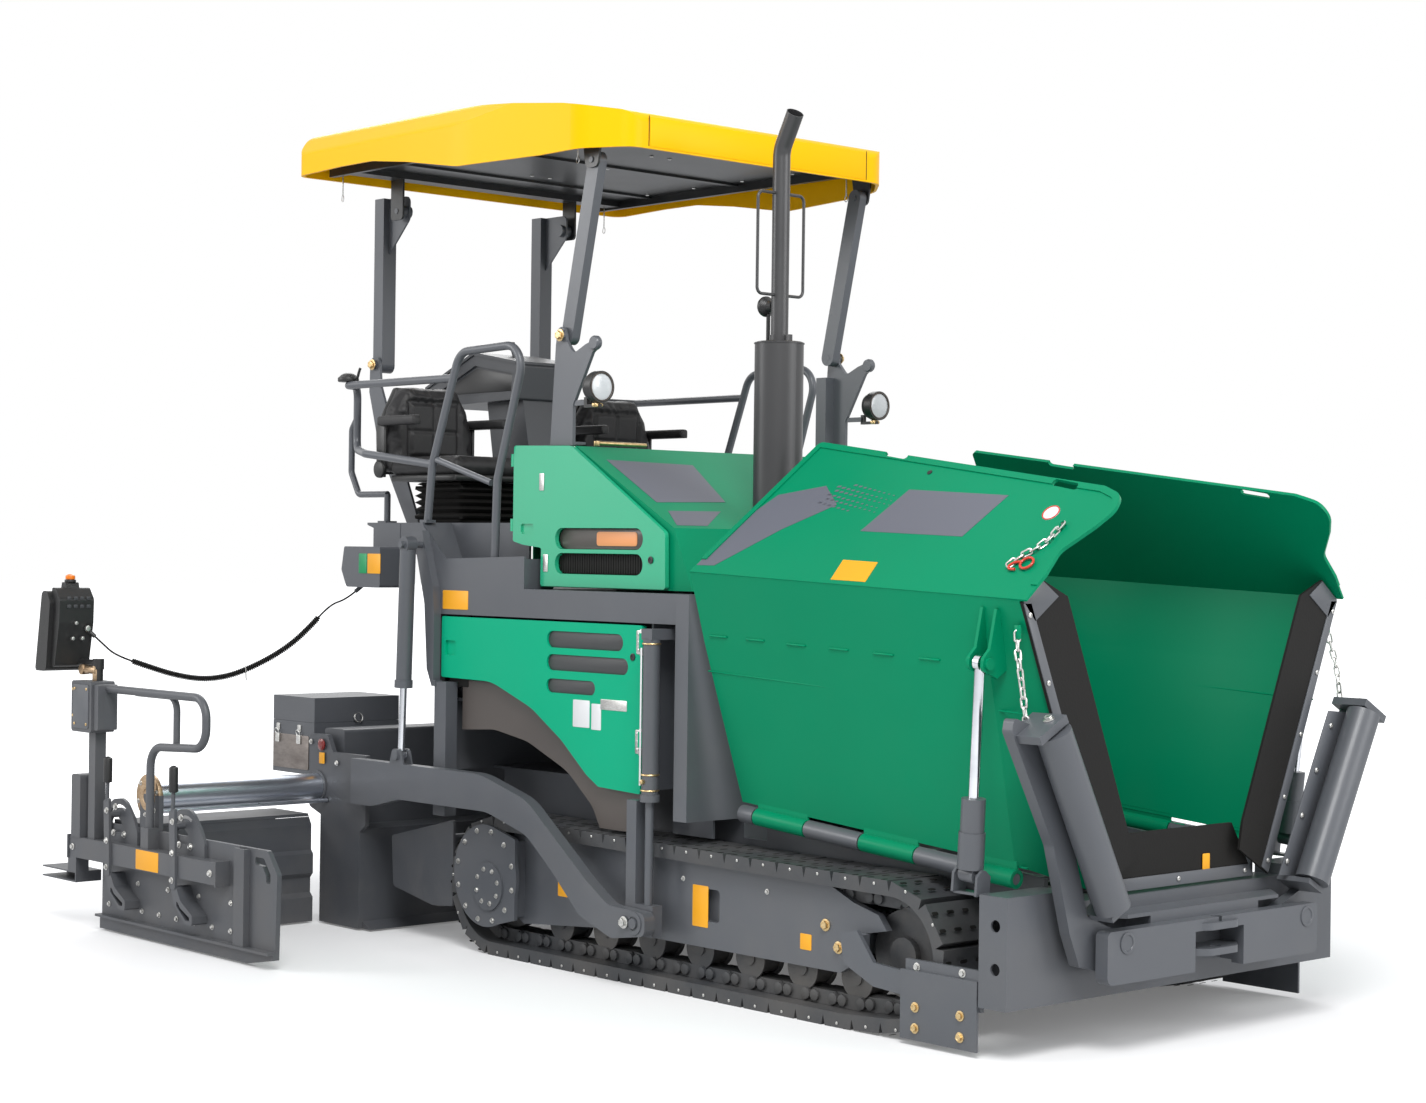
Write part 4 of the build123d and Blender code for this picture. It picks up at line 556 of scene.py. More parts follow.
fender_brown = paint("Fender paint", "fender_paint", (0.085, 0.072, 0.065), 0.12, 0.38, 0.6, coat=0.1,
                     deep=0.8)
black_plastic = paint("Black plastic", "black_plastic", (0.017, 0.0175, 0.018), 0.05, 0.38, 0.55, grain=0.001,
                      grain_scale=500)
paint("Cast grey", "cast_grey", (0.05, 0.052, 0.056), 0.3, 0.45, 0.75, grain=0.002, grain_scale=160)
paint("Heat-proof grey paint", "exhaust_paint", (0.062, 0.062, 0.064), 0.05, 0.34, 0.5,
      metallic=0.35, deep=0.8)
paint("Screed steel", "screed_steel", (0.085, 0.09, 0.1), 0.15, 0.42, 0.65, grain=0.0015,
      grain_scale=120)
band_grey = paint("Grey stripe film", "anthracite_paint", (0.118, 0.125, 0.155), 0.03, 0.4, 0.5, deep=0.96)
sign_yellow = paint("Blank yellow plate", "yellow_roof", (0.95, 0.42, 0.006), 0.05, 0.4, 0.6)
sign_white = paint("Blank white film", "polished_rod", (0.78, 0.79, 0.8), 0.05, 0.35, 0.5)
sign_green = paint("Blank green plate", "green_paint", (0.0, 0.3, 0.1), 0.02, 0.35, 0.5)
signal_red = paint("Red lacquer", "yellow_roof", (0.65, 0.035, 0.012), 0.05, 0.25, 0.4, coat=0.3)
signal_orange = paint("Orange knob", "yellow_roof", (0.95, 0.22, 0.004), 0.03, 0.3, 0.4, coat=0.2)
pale_orange = paint("Pale orange cover", "yellow_roof", (0.9, 0.36, 0.14), 0.05, 0.4, 0.6)
lens_glass = paint("Lamp lens", "polished_rod", (0.8, 0.83, 0.85), 0.0, 0.08, 0.2, coat=0.5, grain=0.004,
                   grain_scale=70, deep=0.55)
dark_red = paint("Red reflector", "polished_rod", (0.22, 0.01, 0.008), 0.02, 0.15, 0.3, coat=0.5, grain=0.002,
                 grain_scale=420)
vent_grey = paint("Dark vent mesh", "black_plastic", (0.05, 0.052, 0.055), 0.05, 0.4, 0.6, grain=0.004,
                  grain_scale=240)
lamp_rim = paint("Lamp rim", "black_plastic", (0.055, 0.04, 0.032), 0.03, 0.3, 0.5)
console_grey = paint("Console paint", "black_plastic", (0.062, 0.066, 0.074), 0.04, 0.4, 0.55, grain=0.001,
                     grain_scale=400)
liner_black = paint("Roof liner", "black_plastic", (0.016, 0.017, 0.018), 0.05, 0.35, 0.5, coat=0.1)
worn_cover = worn("Brushed cover", "screed_steel", (0.3, 0.27, 0.25), (0.17, 0.15, 0.14), 7.0, 0.35, 0.55,
                  0.0003)
seat_cover = seat_leather()


def finish_nodes():
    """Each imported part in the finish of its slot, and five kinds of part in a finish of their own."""
    special = {"roof_frame": liner_black, "console": console_grey}
    for side in sides:
        # The doors take the lighter copies of the green paint: painted light on the lower doors, a painted
        # reflection on the upper doors.
        special["lower_door_" + side] = lit_door_green
        special["upper_door_" + side] = reflection_lit_green
        special["extension_tube_" + side] = satin_chrome
    slots = {part["node"]: part["material_slot"] for part in frame["record"]["subparts"]}
    for name, item in frame["nodes"].items():
        item.data.materials.clear()
        item.data.materials.append(special.get(name, finish_of_slot[slots[name]]))


# ---- the cord's finish ----
def dress_cord():
    settle(coil, "curly_cord_coil", black_rubber, angle=60)
    hook = ring((-1.8105, -1.208, 1.0965), (0.049, 0.088, 0.039), 0.0165, 0.0016, 24, 6)
    pull(hook, lambda v: v.co.z < 1.0965, (0, 0, -0.036))
    settle(hook, "cord_carabiner", zinc)
    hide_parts("curly_cord")
    for (lead, points), part in zip(leads, ("cord_lead_panel", "cord_lead_box")):
        lead.data.materials.append(black_rubber)
        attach(lead, "machine")
        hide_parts(part)
        even_stops(line_through(points), 2)[1]


finish_nodes()
dress_cord()


# ---- helpers for plates and rows ----
def plate(middle, across, up, width, height, thick=0.002, radius=0.0, edge=0.0):
    """Plate that lies on a surface: its middle on the surface, across and up along its sides."""
    across, up = Vector(across).normalized(), Vector(up).normalized()
    middle = Vector(middle) + across.cross(up) * thick
    corners = []
    for k, (u, v) in enumerate(((-1, -1), (1, -1), (1, 1), (-1, 1))):
        hub = (u * (width / 2 - radius), v * (height / 2 - radius))
        for step in range(4 if radius else 1):
            a = pi + pi / 2 * k + pi / 6 * step
            corners.append(middle + across * (hub[0] + radius * cos(a)) + up * (hub[1] + radius * sin(a)))
    return cut_plate(corners, thick + 0.0006, edge or min(0.0005, thick / 4))


facing_side = {"R": ((1, 0, 0), (0, 0, 1)), "L": ((-1, 0, 0), (0, 0, 1))}
facing_front = ((0, 1, 0), (0, 0, 1))


def side_plate(side, low, high, y, thick=0.0015, radius=0.004):
    """Blank plate on a side face between two corners (x, z)."""
    middle = ((low[0] + high[0]) / 2, sides[side] * y, (low[1] + high[1]) / 2)
    return plate(middle, *facing_side[side], high[0] - low[0], high[1] - low[1], thick, radius)


# ---- seats ----
seat_y, seat_foam_pressure = 0.52, 4


def filled(item, cap):
    """Foam under its cover: the form swells evenly, and no point moves further than the cap."""
    make_active(item)
    weave = item.modifiers.new("Even mesh", "REMESH")
    weave.mode = "VOXEL"
    weave.voxel_size = 0.006
    bpy.ops.object.modifier_apply(modifier="Even mesh")
    before = [vertex.co.copy() for vertex in item.data.vertices]
    cloth = item.modifiers.new("Filling", "CLOTH")
    cloth.settings.use_pressure = True
    cloth.settings.uniform_pressure_force = seat_foam_pressure
    cloth.settings.effector_weights.gravity = 0
    for moment in range(1, 21):
        bpy.context.scene.frame_set(moment)
    bpy.ops.object.modifier_apply(modifier="Filling")
    bpy.context.scene.frame_set(1)
    for vertex, start in zip(item.data.vertices, before):
        move = vertex.co - start
        if move.length > cap:
            vertex.co = start + move.normalized() * cap


def sewn(item, direction, depth, lines, reach, near):
    """Press channels into the cover along lines: each line is a test for the points on it."""
    direction = Vector(direction)
    open_mesh(item, "VERT")
    seen = lambda v: v.normal.dot(direction) < -0.5
    choose(item, lambda v: seen(v) and any(abs(line(v.co)) < near for line in lines), "verts")
    bpy.ops.transform.translate(value=direction * depth, use_proportional_edit=True,
                                use_proportional_connected=True, proportional_edit_falloff="SMOOTH",
                                proportional_size=reach)
    deselect()
    return item


def between(value, low, high, line):
    """The line where value lies between low and high, and far away elsewhere."""
    return line if low <= value <= high else 1.0


def make_seat_back():
    half = [(0.235, 1.95), (0.238, 2.12), (0.2, 2.24), (0.14, 2.333)]
    outline = [(-0.235, 1.95)] + half + [(-across, up) for across, up in half[:0:-1]]
    item = cut_plate([(-1.418, seat_y + across, up) for across, up in outline], 0.105, 0.026)
    filled(item, 0.014)
    rim = (lambda p: between(p.z, 2.02, 2.26, abs(p.y - seat_y) - 0.13),
           lambda p: between(abs(p.y - seat_y), 0, 0.13, p.z - 2.26),
           lambda p: between(abs(p.y - seat_y), 0, 0.13, p.z - 2.02))
    cells = (lambda p: between(p.z, 2.02, 2.26, p.y - seat_y),
             lambda p: between(abs(p.y - seat_y), 0, 0.13, p.z - 2.135))
    sewn(item, (-1, 0, 0), 0.012, rim, 0.018, 0.0035)
    return sewn(item, (-1, 0, 0), 0.007, cells, 0.014, 0.0032)


def make_seat_pad():
    item = block((-1.432, seat_y - 0.238, 1.94), (-0.936, seat_y + 0.238, 2.006), 0.028, 3)
    filled(item, 0.012)
    lines = [lambda p: between(p.x, -1.36, -1.0, abs(p.y - seat_y) - 0.15)]
    lines += [lambda p, x=x: between(abs(p.y - seat_y), 0, 0.15, p.x + x) for x in (1.0, 1.12, 1.24)]
    return sewn(item, (0, 0, -1), 0.01, lines, 0.018, 0.0035)


def make_bellows():
    """Folded rubber boot under the seat."""
    foot, height, folds = 1.736, 0.172, 12
    item = block((-1.335, seat_y - 0.168, foot), (-0.985, seat_y + 0.168, foot + height), 0.03, 3)
    open_mesh(item)
    for k in range(1, folds):
        bpy.ops.mesh.select_all(action="SELECT")
        bpy.ops.mesh.bisect(plane_co=(0, 0, foot + height * k / folds), plane_no=(0, 0, 1))
    open_mesh(item, "VERT")
    drawn_in = [foot + height * k / folds for k in range(1, folds, 2)]
    choose(item, lambda v: any(abs(v.co.z - z) < 0.001 for z in drawn_in), "verts")
    bpy.ops.transform.resize(value=(0.87, 0.87, 1), center_override=(-1.16, seat_y, 1.82))
    deselect()
    return item


def make_arm_rest(y):
    item = block((-1.478, y - 0.022, 2.152), (-1.202, y + 0.022, 2.193), 0.012, 3)
    return pull(item, lambda f: f.normal.x > 0.9, (0, 0, -0.006), "faces")


def dress_seats():
    back, pad = make_seat_back(), make_seat_pad()
    outline = ((-0.215, 1.945), (0.215, 1.945), (0.222, 2.15), (0.135, 2.325), (-0.135, 2.325),
               (-0.222, 2.15))
    shell = [cut_plate([(-1.505, seat_y + u, z) for u, z in outline], 0.035, 0.01),
             block((-1.415, seat_y - 0.225, 1.911), (-0.95, seat_y + 0.225, 1.938), 0.008)]
    shell += [round_bar((-1.47, seat_y + s * 0.232, 1.965), (-1.47, seat_y + s * 0.252, 1.965), 0.038)
              for s in (-1, 1)]
    shell += [block((-1.5, seat_y + s * 0.236 - 0.006, 1.93), (-1.44, seat_y + s * 0.236 + 0.006, 2.17))
              for s in (-1, 1)]
    shell.append(disc((-1.0, seat_y, 1.905), (0.025, 0, 0), 0.018, steps=[(0.004, 0.004)]))
    pieces = (("seat_back", back, seat_cover, True), ("seat_pad", pad, seat_cover, True),
              ("seat_shell", joined(shell), black_plastic, False),
              ("seat_bellows", make_bellows(), black_rubber, False),
              ("arm_rests", joined([make_arm_rest(seat_y + s * 0.238) for s in (-1, 1)]), seat_cover, True))
    for name, item, finish, padded in pieces:
        other = new_object(name, item.data.copy())
        other.location = (0, -2 * seat_y, 0)
        for half, side in ((item, "L"), (other, "R")):
            settle(half, f"{name}_{side}", finish, angle=50)
            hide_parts("seats")


dress_seats()


# ---- wings ----
flange_base, flange_along = Vector((0.69, 0.89, 1.558)), Vector((0.99915, -0.00425, -0.0411))
flange_up, flange_out = Vector((0.02674, -0.69187, 0.72153)), Vector((0.0315, 0.722, 0.6912))


def on_flange(side, u, v, proud=0.0):
    """Point on the wing's sloping upper face, u back to front and v upwards, in millimetres."""
    place = flange_base + flange_along * u / 1000 + flange_up * v / 1000 + flange_out * proud
    return Vector((place.x, place.y * sides[side], place.z))


def flange_film(side, corners, thick=0.0011):
    """Thin film or plate on the wing's upper face."""
    if side == "L":
        corners = corners[::-1]
    return cut_plate([on_flange(side, u, v, thick) for u, v in corners], thick + 0.0008)


def dots_of_film(side):
    """Short dashes that grow smaller and rarer along the stripe."""
    made = []
    for row in range(6):
        for k in range(13 - row % 3):
            u = 400 + 27 * k + 13 * (row % 2) + 9 * row
            v = 372 + 21 * row - 5.2 * k
            size = 1.0 - 0.062 * k
            if v < 340 or size < 0.22 or v > 470:
                continue
            w, h = 11 * size, 4.2 * size
            corners = [(u - w, v - h), (u + w - h, v - h), (u + w, v + h), (u - w + h, v + h)]
            made.append(flange_film(side, corners))
    return made


def dress_wing(side):
    body, s = "wing_" + side, sides[side]
    out = Vector((flange_out.x, flange_out.y * s, flange_out.z))
    stripe = flange_film(side, [(12, 30), (104, 35), (307, 232), (489, 367), (369, 457), (162, 400),
                                (74, 262)])
    sign = flange_film(side, [(691, 247), (1164, 251), (1241, 451), (780, 457)])
    settle([stripe, sign, joined(dots_of_film(side))], f"grey_films_{side}", band_grey, body)
    yellow = flange_film(side, [(715, 14), (879, 16), (874, 108), (708, 108)], 0.0015)
    settle(yellow, f"blank_plate_wing_{side}", sign_yellow, body)
    middle = on_flange(side, 1470, 380)
    settle(disc(middle, out * 0.0018, 0.033, 36, 0.0004), f"blank_disc_{side}", sign_white, body)
    settle(ring(middle + out * 0.0016, out, 0.0305, 0.0024, 40), f"disc_rim_{side}", signal_red, body)
    plug = disc(on_flange(side, 818, 544), out * 0.003, 0.01, edge=0.001)
    settle(plug, f"wing_plug_{side}", black_plastic, body)
    hang = ((1556, 317), (1548, 262), (1528, 222), (1503, 196), (1478, 176), (1458, 140))
    chain(f"hopper_chain_{side}", [on_flange(side, u, v, 0.01) for u, v in hang], body)
    bend = ((1494, 150), (1470, 148), (1452, 130), (1462, 112), (1486, 116))
    hook = [ring(on_flange(side, 1518, 146, 0.009), out, 0.024, 0.0045, 24, 10),
            bent_rod([on_flange(side, u, v, 0.009) for u, v in bend], 0.0045)]
    settle(hook, f"chain_hook_{side}", signal_red, body)
    hang = ((2.239, 0.863, 1.372), (2.244, 0.868, 1.33), (2.262, 0.876, 1.27), (2.277, 0.878, 1.2),
            (2.286, 0.876, 1.13), (2.29, 0.874, 1.1))
    chain(f"wing_chain_{side}", [(x, s * y, z) for x, y, z in hang], body)
    ears = [ring(on_flange(side, 1556, 322, 0.008), (1, 0, 0), 0.012, 0.004),
            block((2.226, s * 0.86 - 0.005, 1.362), (2.25, s * 0.86 + 0.005, 1.408))]
    settle(ears, f"chain_ears_{side}", green, body)
    beads = []
    for x, y, z in ((0.799, .843, 1.321), (0.993, .842, 1.315), (1.203, .841, 1.305), (1.413, .84, 1.298),
                    (1.626, .84, 1.289), (1.838, .839, 1.281), (0.981, .688, .656), (1.131, .687, .646),
                    (1.528, .686, .63), (1.693, .685, .624), (2.099, .684, .605)):
        beads.append(disc((x - 0.046, s * (y + 0.002), z + 0.002), (0.092, 0, -0.003), 0.0042, 10, 0.0015))
    settle(beads, f"weld_beads_{side}", green, body)
    crease = round_bar((0.715, s * 0.8145, 1.192), (2.225, s * 0.797, 1.118), 0.003, 12, 0.0008)
    settle(crease, f"wing_crease_{side}", green, body)


for side in sides:
    dress_wing(side)


# ---- hood films ----
def dress_hood():
    """Grey films on the hood's front slope; s runs down the slope and y across, in millimetres."""
    films = [[(113, -702), (130, -263), (447, -337), (464, -707)],
             [(532, -701), (527, -426), (648, -590), (648, -745)]]
    top, proud = Vector((-0.118, 0, 2.036)), 0.0012
    down, out = Vector((0.878, 0, -0.479)), Vector((0.479, 0, 0.878))
    made = []
    for film in films:
        for turned in (1, -1):
            corners = [top + down * s / 1000 + out * proud + Vector((0, turned * y / 1000, 0))
                       for s, y in film]
            made.append(cut_plate(corners[::-turned], 0.002))
    settle(made, "grey_films_hood", band_grey)


dress_hood()


# ---- tracks ----
track_wheels_at = [(-0.5, 0.278, 0.226), (1.47, 0.166, 0.114), (1.69, 0.272, 0.206)]
track_middle, track_outer, shoe_pitch, shoe_thick = 0.738, 0.866, 0.137, 0.052


def belt_stops():
    """Place and outward direction, in x and z, at the middle of each shoe."""
    wheels, outs = track_wheels_at, []
    for here, there in zip(wheels, wheels[1:] + wheels[:1]):
        dx, dz = there[0] - here[0], there[1] - here[1]
        span = hypot(dx, dz)
        sink = (here[2] - there[2]) / span
        side = sqrt(1 - sink * sink)
        outs.append(Vector((sink * dx / span + side * dz / span, 0, sink * dz / span - side * dx / span)))
    runs = []
    for k, (x, z, r) in enumerate(wheels):
        start = atan2(outs[k - 1].z, outs[k - 1].x)
        turn = (atan2(outs[k].z, outs[k].x) - start) % (2 * pi)
        nxt = wheels[(k + 1) % 3]
        hub = Vector((x, 0, z))
        first, last = hub + outs[k] * r, Vector((nxt[0], 0, nxt[1])) + outs[k] * nxt[2]

        def round_wheel(t, hub=hub, r=r, start=start, turn=turn):
            away = Vector((cos(start + turn * t), 0, sin(start + turn * t)))
            return hub + away * r, away

        runs.append((r * turn, round_wheel))
        runs.append(((last - first).length, lambda t, p=first, q=last, n=outs[k]: (p.lerp(q, t), n)))
    total = sum(length for length, _ in runs)
    count = round(total / shoe_pitch)
    stops = []
    for k in range(count):
        reach = (k + 0.5) * total / count
        for length, place in runs:
            if reach <= length:
                break
            reach -= length
        stops.append(place(reach / length))
    return stops


def on_belt(stop, y, out, side):
    """Place for a copy: x along the belt, z outwards, at the height out above its inner face."""
    place, away = stop
    turn = Matrix((Vector((away.z, 0, -away.x)), Vector((0, 1, 0)), away)).transposed().to_4x4()
    return Matrix.Translation(place + away * out + Vector((0, y * sides[side], 0))) @ turn


def make_link_plate():
    """Chain link plate with a raised eye at each pin."""
    outline = [(-0.066, 0.008), (-0.05, -0.006), (0.05, -0.006), (0.066, 0.008), (0.06, 0.034),
               (0.03, 0.045), (-0.03, 0.045), (-0.06, 0.034)]
    body = cut_plate([(x, -0.006, z) for x, z in outline], 0.012)
    eyes = [disc((x, -0.016, 0.018), (0, 0.022, 0), 0.021, 10, 0.002) for x in (-0.046, 0.046)]
    return joined([body] + eyes)


def dress_tracks():
    stops = belt_stops()
    # the four slots by which a shoe is bolted to its links
    holes = joined([plate((x, y, 0), (0, 1, 0), (-1, 0, 0), 0.03, 0.013, 0.0006, 0.006, 0.0002)
                    for x in (-0.032, 0.032) for y in (-0.036, 0.036)])
    link = make_link_plate()
    for side, s in sides.items():
        plates, slots, dots = [], [], []
        for stop in stops:
            for reach in (0.7835, 0.6925):
                turned = Matrix.Rotation(pi if (reach > track_middle) != (s < 0) else 0, 4, "Z")
                plates.append(on_belt(stop, reach, -0.046, side) @ turned)
            slots.append(on_belt(stop, track_middle, shoe_thick, side))
            slots.append(on_belt(stop, 0.815, shoe_thick, side) @ Matrix.Scale(0.999, 4))
            dots.append(on_belt(stop, track_outer, 0.036, side) @ at((0, 0, 0), (0, s, 0), 0.55))
        settle(copies(link, plates), f"track_links_{side}", track_grey)
        settle(copies(holes, slots), f"shoe_slots_{side}", black_rubber)
        settle(copies(round_bolt, dots), f"shoe_pins_{side}", zinc)
    for pattern in (link, holes):
        bpy.data.objects.remove(pattern)


dress_tracks()


# ---- rows of fasteners, blank plates and small fittings ----
# How far out the faces of the main parts lie.
upper_door_y, frame_y, lower_door_y, screed_y = 0.801, 0.822, 0.85, 0.931
quadrant_y, case_y, beam_y = 1.767, 1.838, 1.813
levers_at = (-1.88, -1.35)


def side_bolts(side, name, y, spots, scale=1.0, body="machine", finish=zinc, pattern=hex_bolt):
    """Row of fasteners on a side face, at (x, z) spots."""
    places = [((x, sides[side] * y, z), (0, sides[side], 0)) for x, z in spots]
    bolts(f"{name}_{side}", places, finish, body, scale, pattern)


def on_front(side, x, spots):
    return [((x, sides[side] * y, z), (1, 0, 0)) for y, z in spots]


def circle(x, z, radius, count):
    angles = [0.3 + 2 * pi * k / count for k in range(count)]
    return [(x + radius * cos(a), z + radius * sin(a)) for a in angles]


def line(first, last, count):
    return [tuple(a + (b - a) * k / (count - 1) for a, b in zip(first, last)) for k in range(count)]


def dress_side(side):
    s, end, lower, upper = sides[side], "extension_" + side, "lower_door_" + side, "upper_door_" + side
    for row in (
        ("cover_bolts", 0.886, circle(-0.525, 0.318, 0.182, 12), 0.8),
        ("hub_bolts", 0.894, circle(-0.5, 0.278, 0.07, 8), 0.7),
        ("scraper_bolts", 0.896, [(x, z) for x in (1.845, 2.045) for z in (0.06, 0.13)], 1.2, "machine",
         brass),
        ("scraper_top_bolts", 0.886, [(1.842, 0.262), (2.044, 0.268)]),
        ("post_foot_bolts", 0.779, [(-0.22, 2.475)], 1.7, "machine", brass),
        ("post_rear_bolts", 0.512, [(-1.9, 2.45)], 1.7, "machine", brass),
        ("frame_bolts", frame_y, [(1.348, 0.337), (1.412, 0.266)], 1.5, "machine", brass),
        ("frame_edge_bolts", frame_y, [(1.05, 0.42), (0.6, 0.42)], 0.7),
        ("side_bolts", 0.985, [(0.455, 0.255)], 1.6),
        ("screed_side_bolts", screed_y, [(-1.36, 0.7), (-1.52, 0.7), (-1.72, 0.78), (-1.36, 0.56)], 0.8,
         "screed"),
        ("quadrant_bolts", quadrant_y, [(x + dx, z) for x in levers_at for dx, z in (
            (-0.045, 0.42), (0.045, 0.42), (-0.03, 0.53))], 1.0, end),
        ("adjuster_bolts", 1.825, [(x, z) for x in levers_at for z in (0.285, 0.395, 0.52)], 0.9, end),
        ("runner_bolts", 1.753, line((-1.98, 0.115), (-1.02, 0.115), 8)
         + line((-1.98, 0.225), (-1.02, 0.225), 5), 0.8, end),
        ("beam_bolts", beam_y, [(-2.19, 0.34), (-1.08, 0.34)], 1.0, end),
        ("flange_bolts", 1.7525, circle(-1.675, 0.59, 0.077, 6), 0.7, end),
        ("hinge_screws", 0.853, [(0.366, z + dz) for z in (1.285, 0.911) for dz in (-0.03, 0.0, 0.03)], 0.6,
         lower, zinc, round_bolt),
        ("case_bolts", 1.842, [(x, z) for x in (-2.135, -2.035) for z in (0.868, 1.016)], 0.6, end, brass,
         round_bolt),
    ):
        side_bolts(side, *row)
    flange = disc((-1.675, s * 1.7325, 0.59), (0, s * 0.02, 0), 0.0925, 48, 0.002,
                  [(0.03, 0.0), (0.003, 0.004), (0.022, 0.0), (0.003, -0.004)])
    settle(flange, f"bronze_flange_{side}", bronze, end)
    grips = [disc((x - 0.006, s * 1.819, 0.636), (0, 0, 0.102), 0.0185, 20, 0.004,
                  [(0.005, 0.004), (0.005, 0.002)]) for x in levers_at]
    settle(grips, f"lever_grips_{side}", black_plastic, end)
    for name, low, high, y, body, finish, *form in (
        ("beam_sign", (-0.88, 1.378), (-0.707, 1.455), 0.85, "machine", sign_yellow),
        ("frame_sign", (0.654, 0.253), (0.739, 0.405), frame_y, "machine", sign_yellow),
        ("hole_sign", (1.222, 0.238), (1.278, 0.294), frame_y, "machine", sign_yellow),
        ("arm_sign", (-0.135, 0.275), (-0.075, 0.335), frame_y, "machine", sign_yellow),
        ("control_sign_green", (-1.505, 1.515), (-1.447, 1.6), 0.8405, "machine", sign_green),
        ("control_sign", (-1.44, 1.515), (-1.345, 1.6), 0.8405, "machine", sign_yellow),
        ("console_reflector", (-1.9, 2.308), (-1.862, 2.336), 0.18, "machine", signal_orange),
        ("screed_sign", (-1.655, 0.69), (-1.615, 0.738), screed_y, "screed", sign_yellow),
        ("end_sign", (-1.657, 0.3), (-1.478, 0.38), beam_y, end, sign_yellow),
        ("door_film_a", (-0.022, 0.945), (0.078, 1.05), lower_door_y, lower, sign_white),
        ("door_film_b", (0.09, 0.94), (0.147, 1.04), lower_door_y, lower, sign_white),
        ("door_plate", (0.144, 1.02), (0.299, 1.06), lower_door_y, lower, zinc),
        ("upper_latch_a", (-0.312, 1.862), (-0.282, 1.93), upper_door_y, upper, zinc),
        ("upper_latch_b", (-0.282, 1.541), (-0.252, 1.609), upper_door_y, upper, zinc),
        ("inner_cover", (-0.209, 1.633), (0.319, 1.712), 0.7748, "machine", fender_brown, 0.001, 0.038),
        ("inner_box", (0.02, 1.645), (0.26, 1.7), 0.7752, "machine", pale_orange, 0.003, 0.012),
        ("level_scale", (0.476, 0.76), (0.484, 1.27), 0.9375, "machine", sign_white, 0.001, 0.001),
        ("tool_box_cover", (-2.145, 0.64), (-1.86, 0.79), 0.85, "screed", worn_cover, 0.003, 0.008),
        ("case_cover", (-2.15, 0.85), (-2.02, 1.034), case_y, end, anthracite, 0.004, 0.01),
    ):
        settle(side_plate(side, low, high, y, *form), f"{name}_{side}", finish, body)
    for name, place, body in (("upper_lock", (0.369, s * upper_door_y, 1.594), upper),
                              ("lower_lock", (0.33, s * lower_door_y, 1.228), lower)):
        steps = [(0.0035, 0.0), (0.0008, -0.002), (0.005, 0.0), (0.0004, -0.001)]
        lock = disc(place, (0, s * 0.004, 0), 0.014, 28, 0.0012, steps)
        settle(lock, f"{name}_{side}", black_plastic, body)
    leaves = []
    for z in (1.285, 0.911):
        leaves.append(side_plate(side, (0.352, z - 0.045), (0.384, z + 0.045), lower_door_y, 0.003, 0.006))
        leaves.append(round_bar((0.39, s * 0.858, z - 0.05), (0.39, s * 0.858, z + 0.05), 0.0075))
    settle(leaves, f"hinge_leaves_{side}", zinc, lower)
    mesh, y = [side_plate(side, (-0.209, 1.536), (0.319, 1.614), 0.7748, 0.0006, 0.038)], s * 0.7765
    for k in range(36):
        x = -0.205 + 0.0145 * k
        mesh.append(block((x, y - 0.0015, 1.536), (x + 0.007, y + 0.0015, 1.614), 0.001, 1))
    settle(mesh, f"cooler_mesh_{side}", black_rubber)


def dress_lamp(side):
    y = sides[side] * 0.773
    glass = disc((0.024, y, 2.262), (0.009, 0, 0), 0.0515, 40, 0.001,
                 [(0.012, 0.0022), (0.012, 0.0015), (0.012, 0.0008)])
    settle(glass, f"lamp_lens_{side}", lens_glass)
    settle(ring((0.035, y, 2.262), (1, 0, 0), 0.0545, 0.003, 40, 10), f"lamp_rim_{side}", lamp_rim)
    clamp = [block((-0.004, y - 0.016, 2.184), (0.02, y + 0.016, 2.2)),
             round_bar((0.008, y - 0.024, 2.192), (0.008, y + 0.024, 2.192), 0.006)]
    settle(clamp, f"lamp_clamp_{side}", brass)


def dress_flap(side):
    """Grey strip that clamps the rubber to the wing, its bolts and the angle plate at its top."""
    body = "wing_" + side
    strip = [(0.468, 0.516), (0.43, 0.54), (0.834, 1.478), (0.872, 1.478)]
    cap = [(0.872, 1.482), (0.815, 1.42), (0.7, 1.5), (0.778, 1.55)]
    made = [facing_plate(side, 2.273, shape, 0.005, 0.0008) for shape in (strip, cap)]
    settle(made, f"flap_strip_{side}", anthracite, body)
    spots = line((0.462, 0.56), (0.842, 1.44), 5)
    bolts(f"flap_bolts_{side}", on_front(side, 2.273, spots), zinc, body, 0.9, round_bolt)


# ---- roof, doors and body details ----
def dress_roof():
    corners = ((-0.601, 3.206), (0.601, 3.206), (0.601, 3.322), (-0.601, 3.322))
    panel = cut_plate([(0.1025, y, z) for y, z in corners], 0.004, 0.0016)
    settle(panel, "roof_front_panel", roof_yellow, "roof")
    seams = [block((0.0995, y - 0.002, 3.206), (0.1014, y + 0.002, 3.326), 0.0006, 1)
             for y in (-0.606, 0.606)]
    settle(seams, "roof_seams", black_rubber, "roof")
    hooks = [(x, s * 0.75, top) for x, top in ((-1.8, 3.299), (-0.16, 3.289)) for s in (-1, 1)]
    loops = [ring((x, y, 3.165), (0.3, 1, 0), 0.014, 0.0018, 20, 6) for x, y, top in hooks]
    loops += [round_bar((x, y, 3.177), (x, y, top), 0.003, 10) for x, y, top in hooks]
    settle(loops, "roof_hooks", zinc, "roof")
    heads = line((-1.75, 0.7), (-0.12, 0.7), 6) + line((-1.75, 0.05), (-0.12, 0.05), 5)
    spots = [((x, s * y, 3.2975), (0, 0, -1)) for x, y in heads for s in (-1, 1)]
    bolts("liner_bolts", spots, zinc, "roof", 0.9, round_bolt)


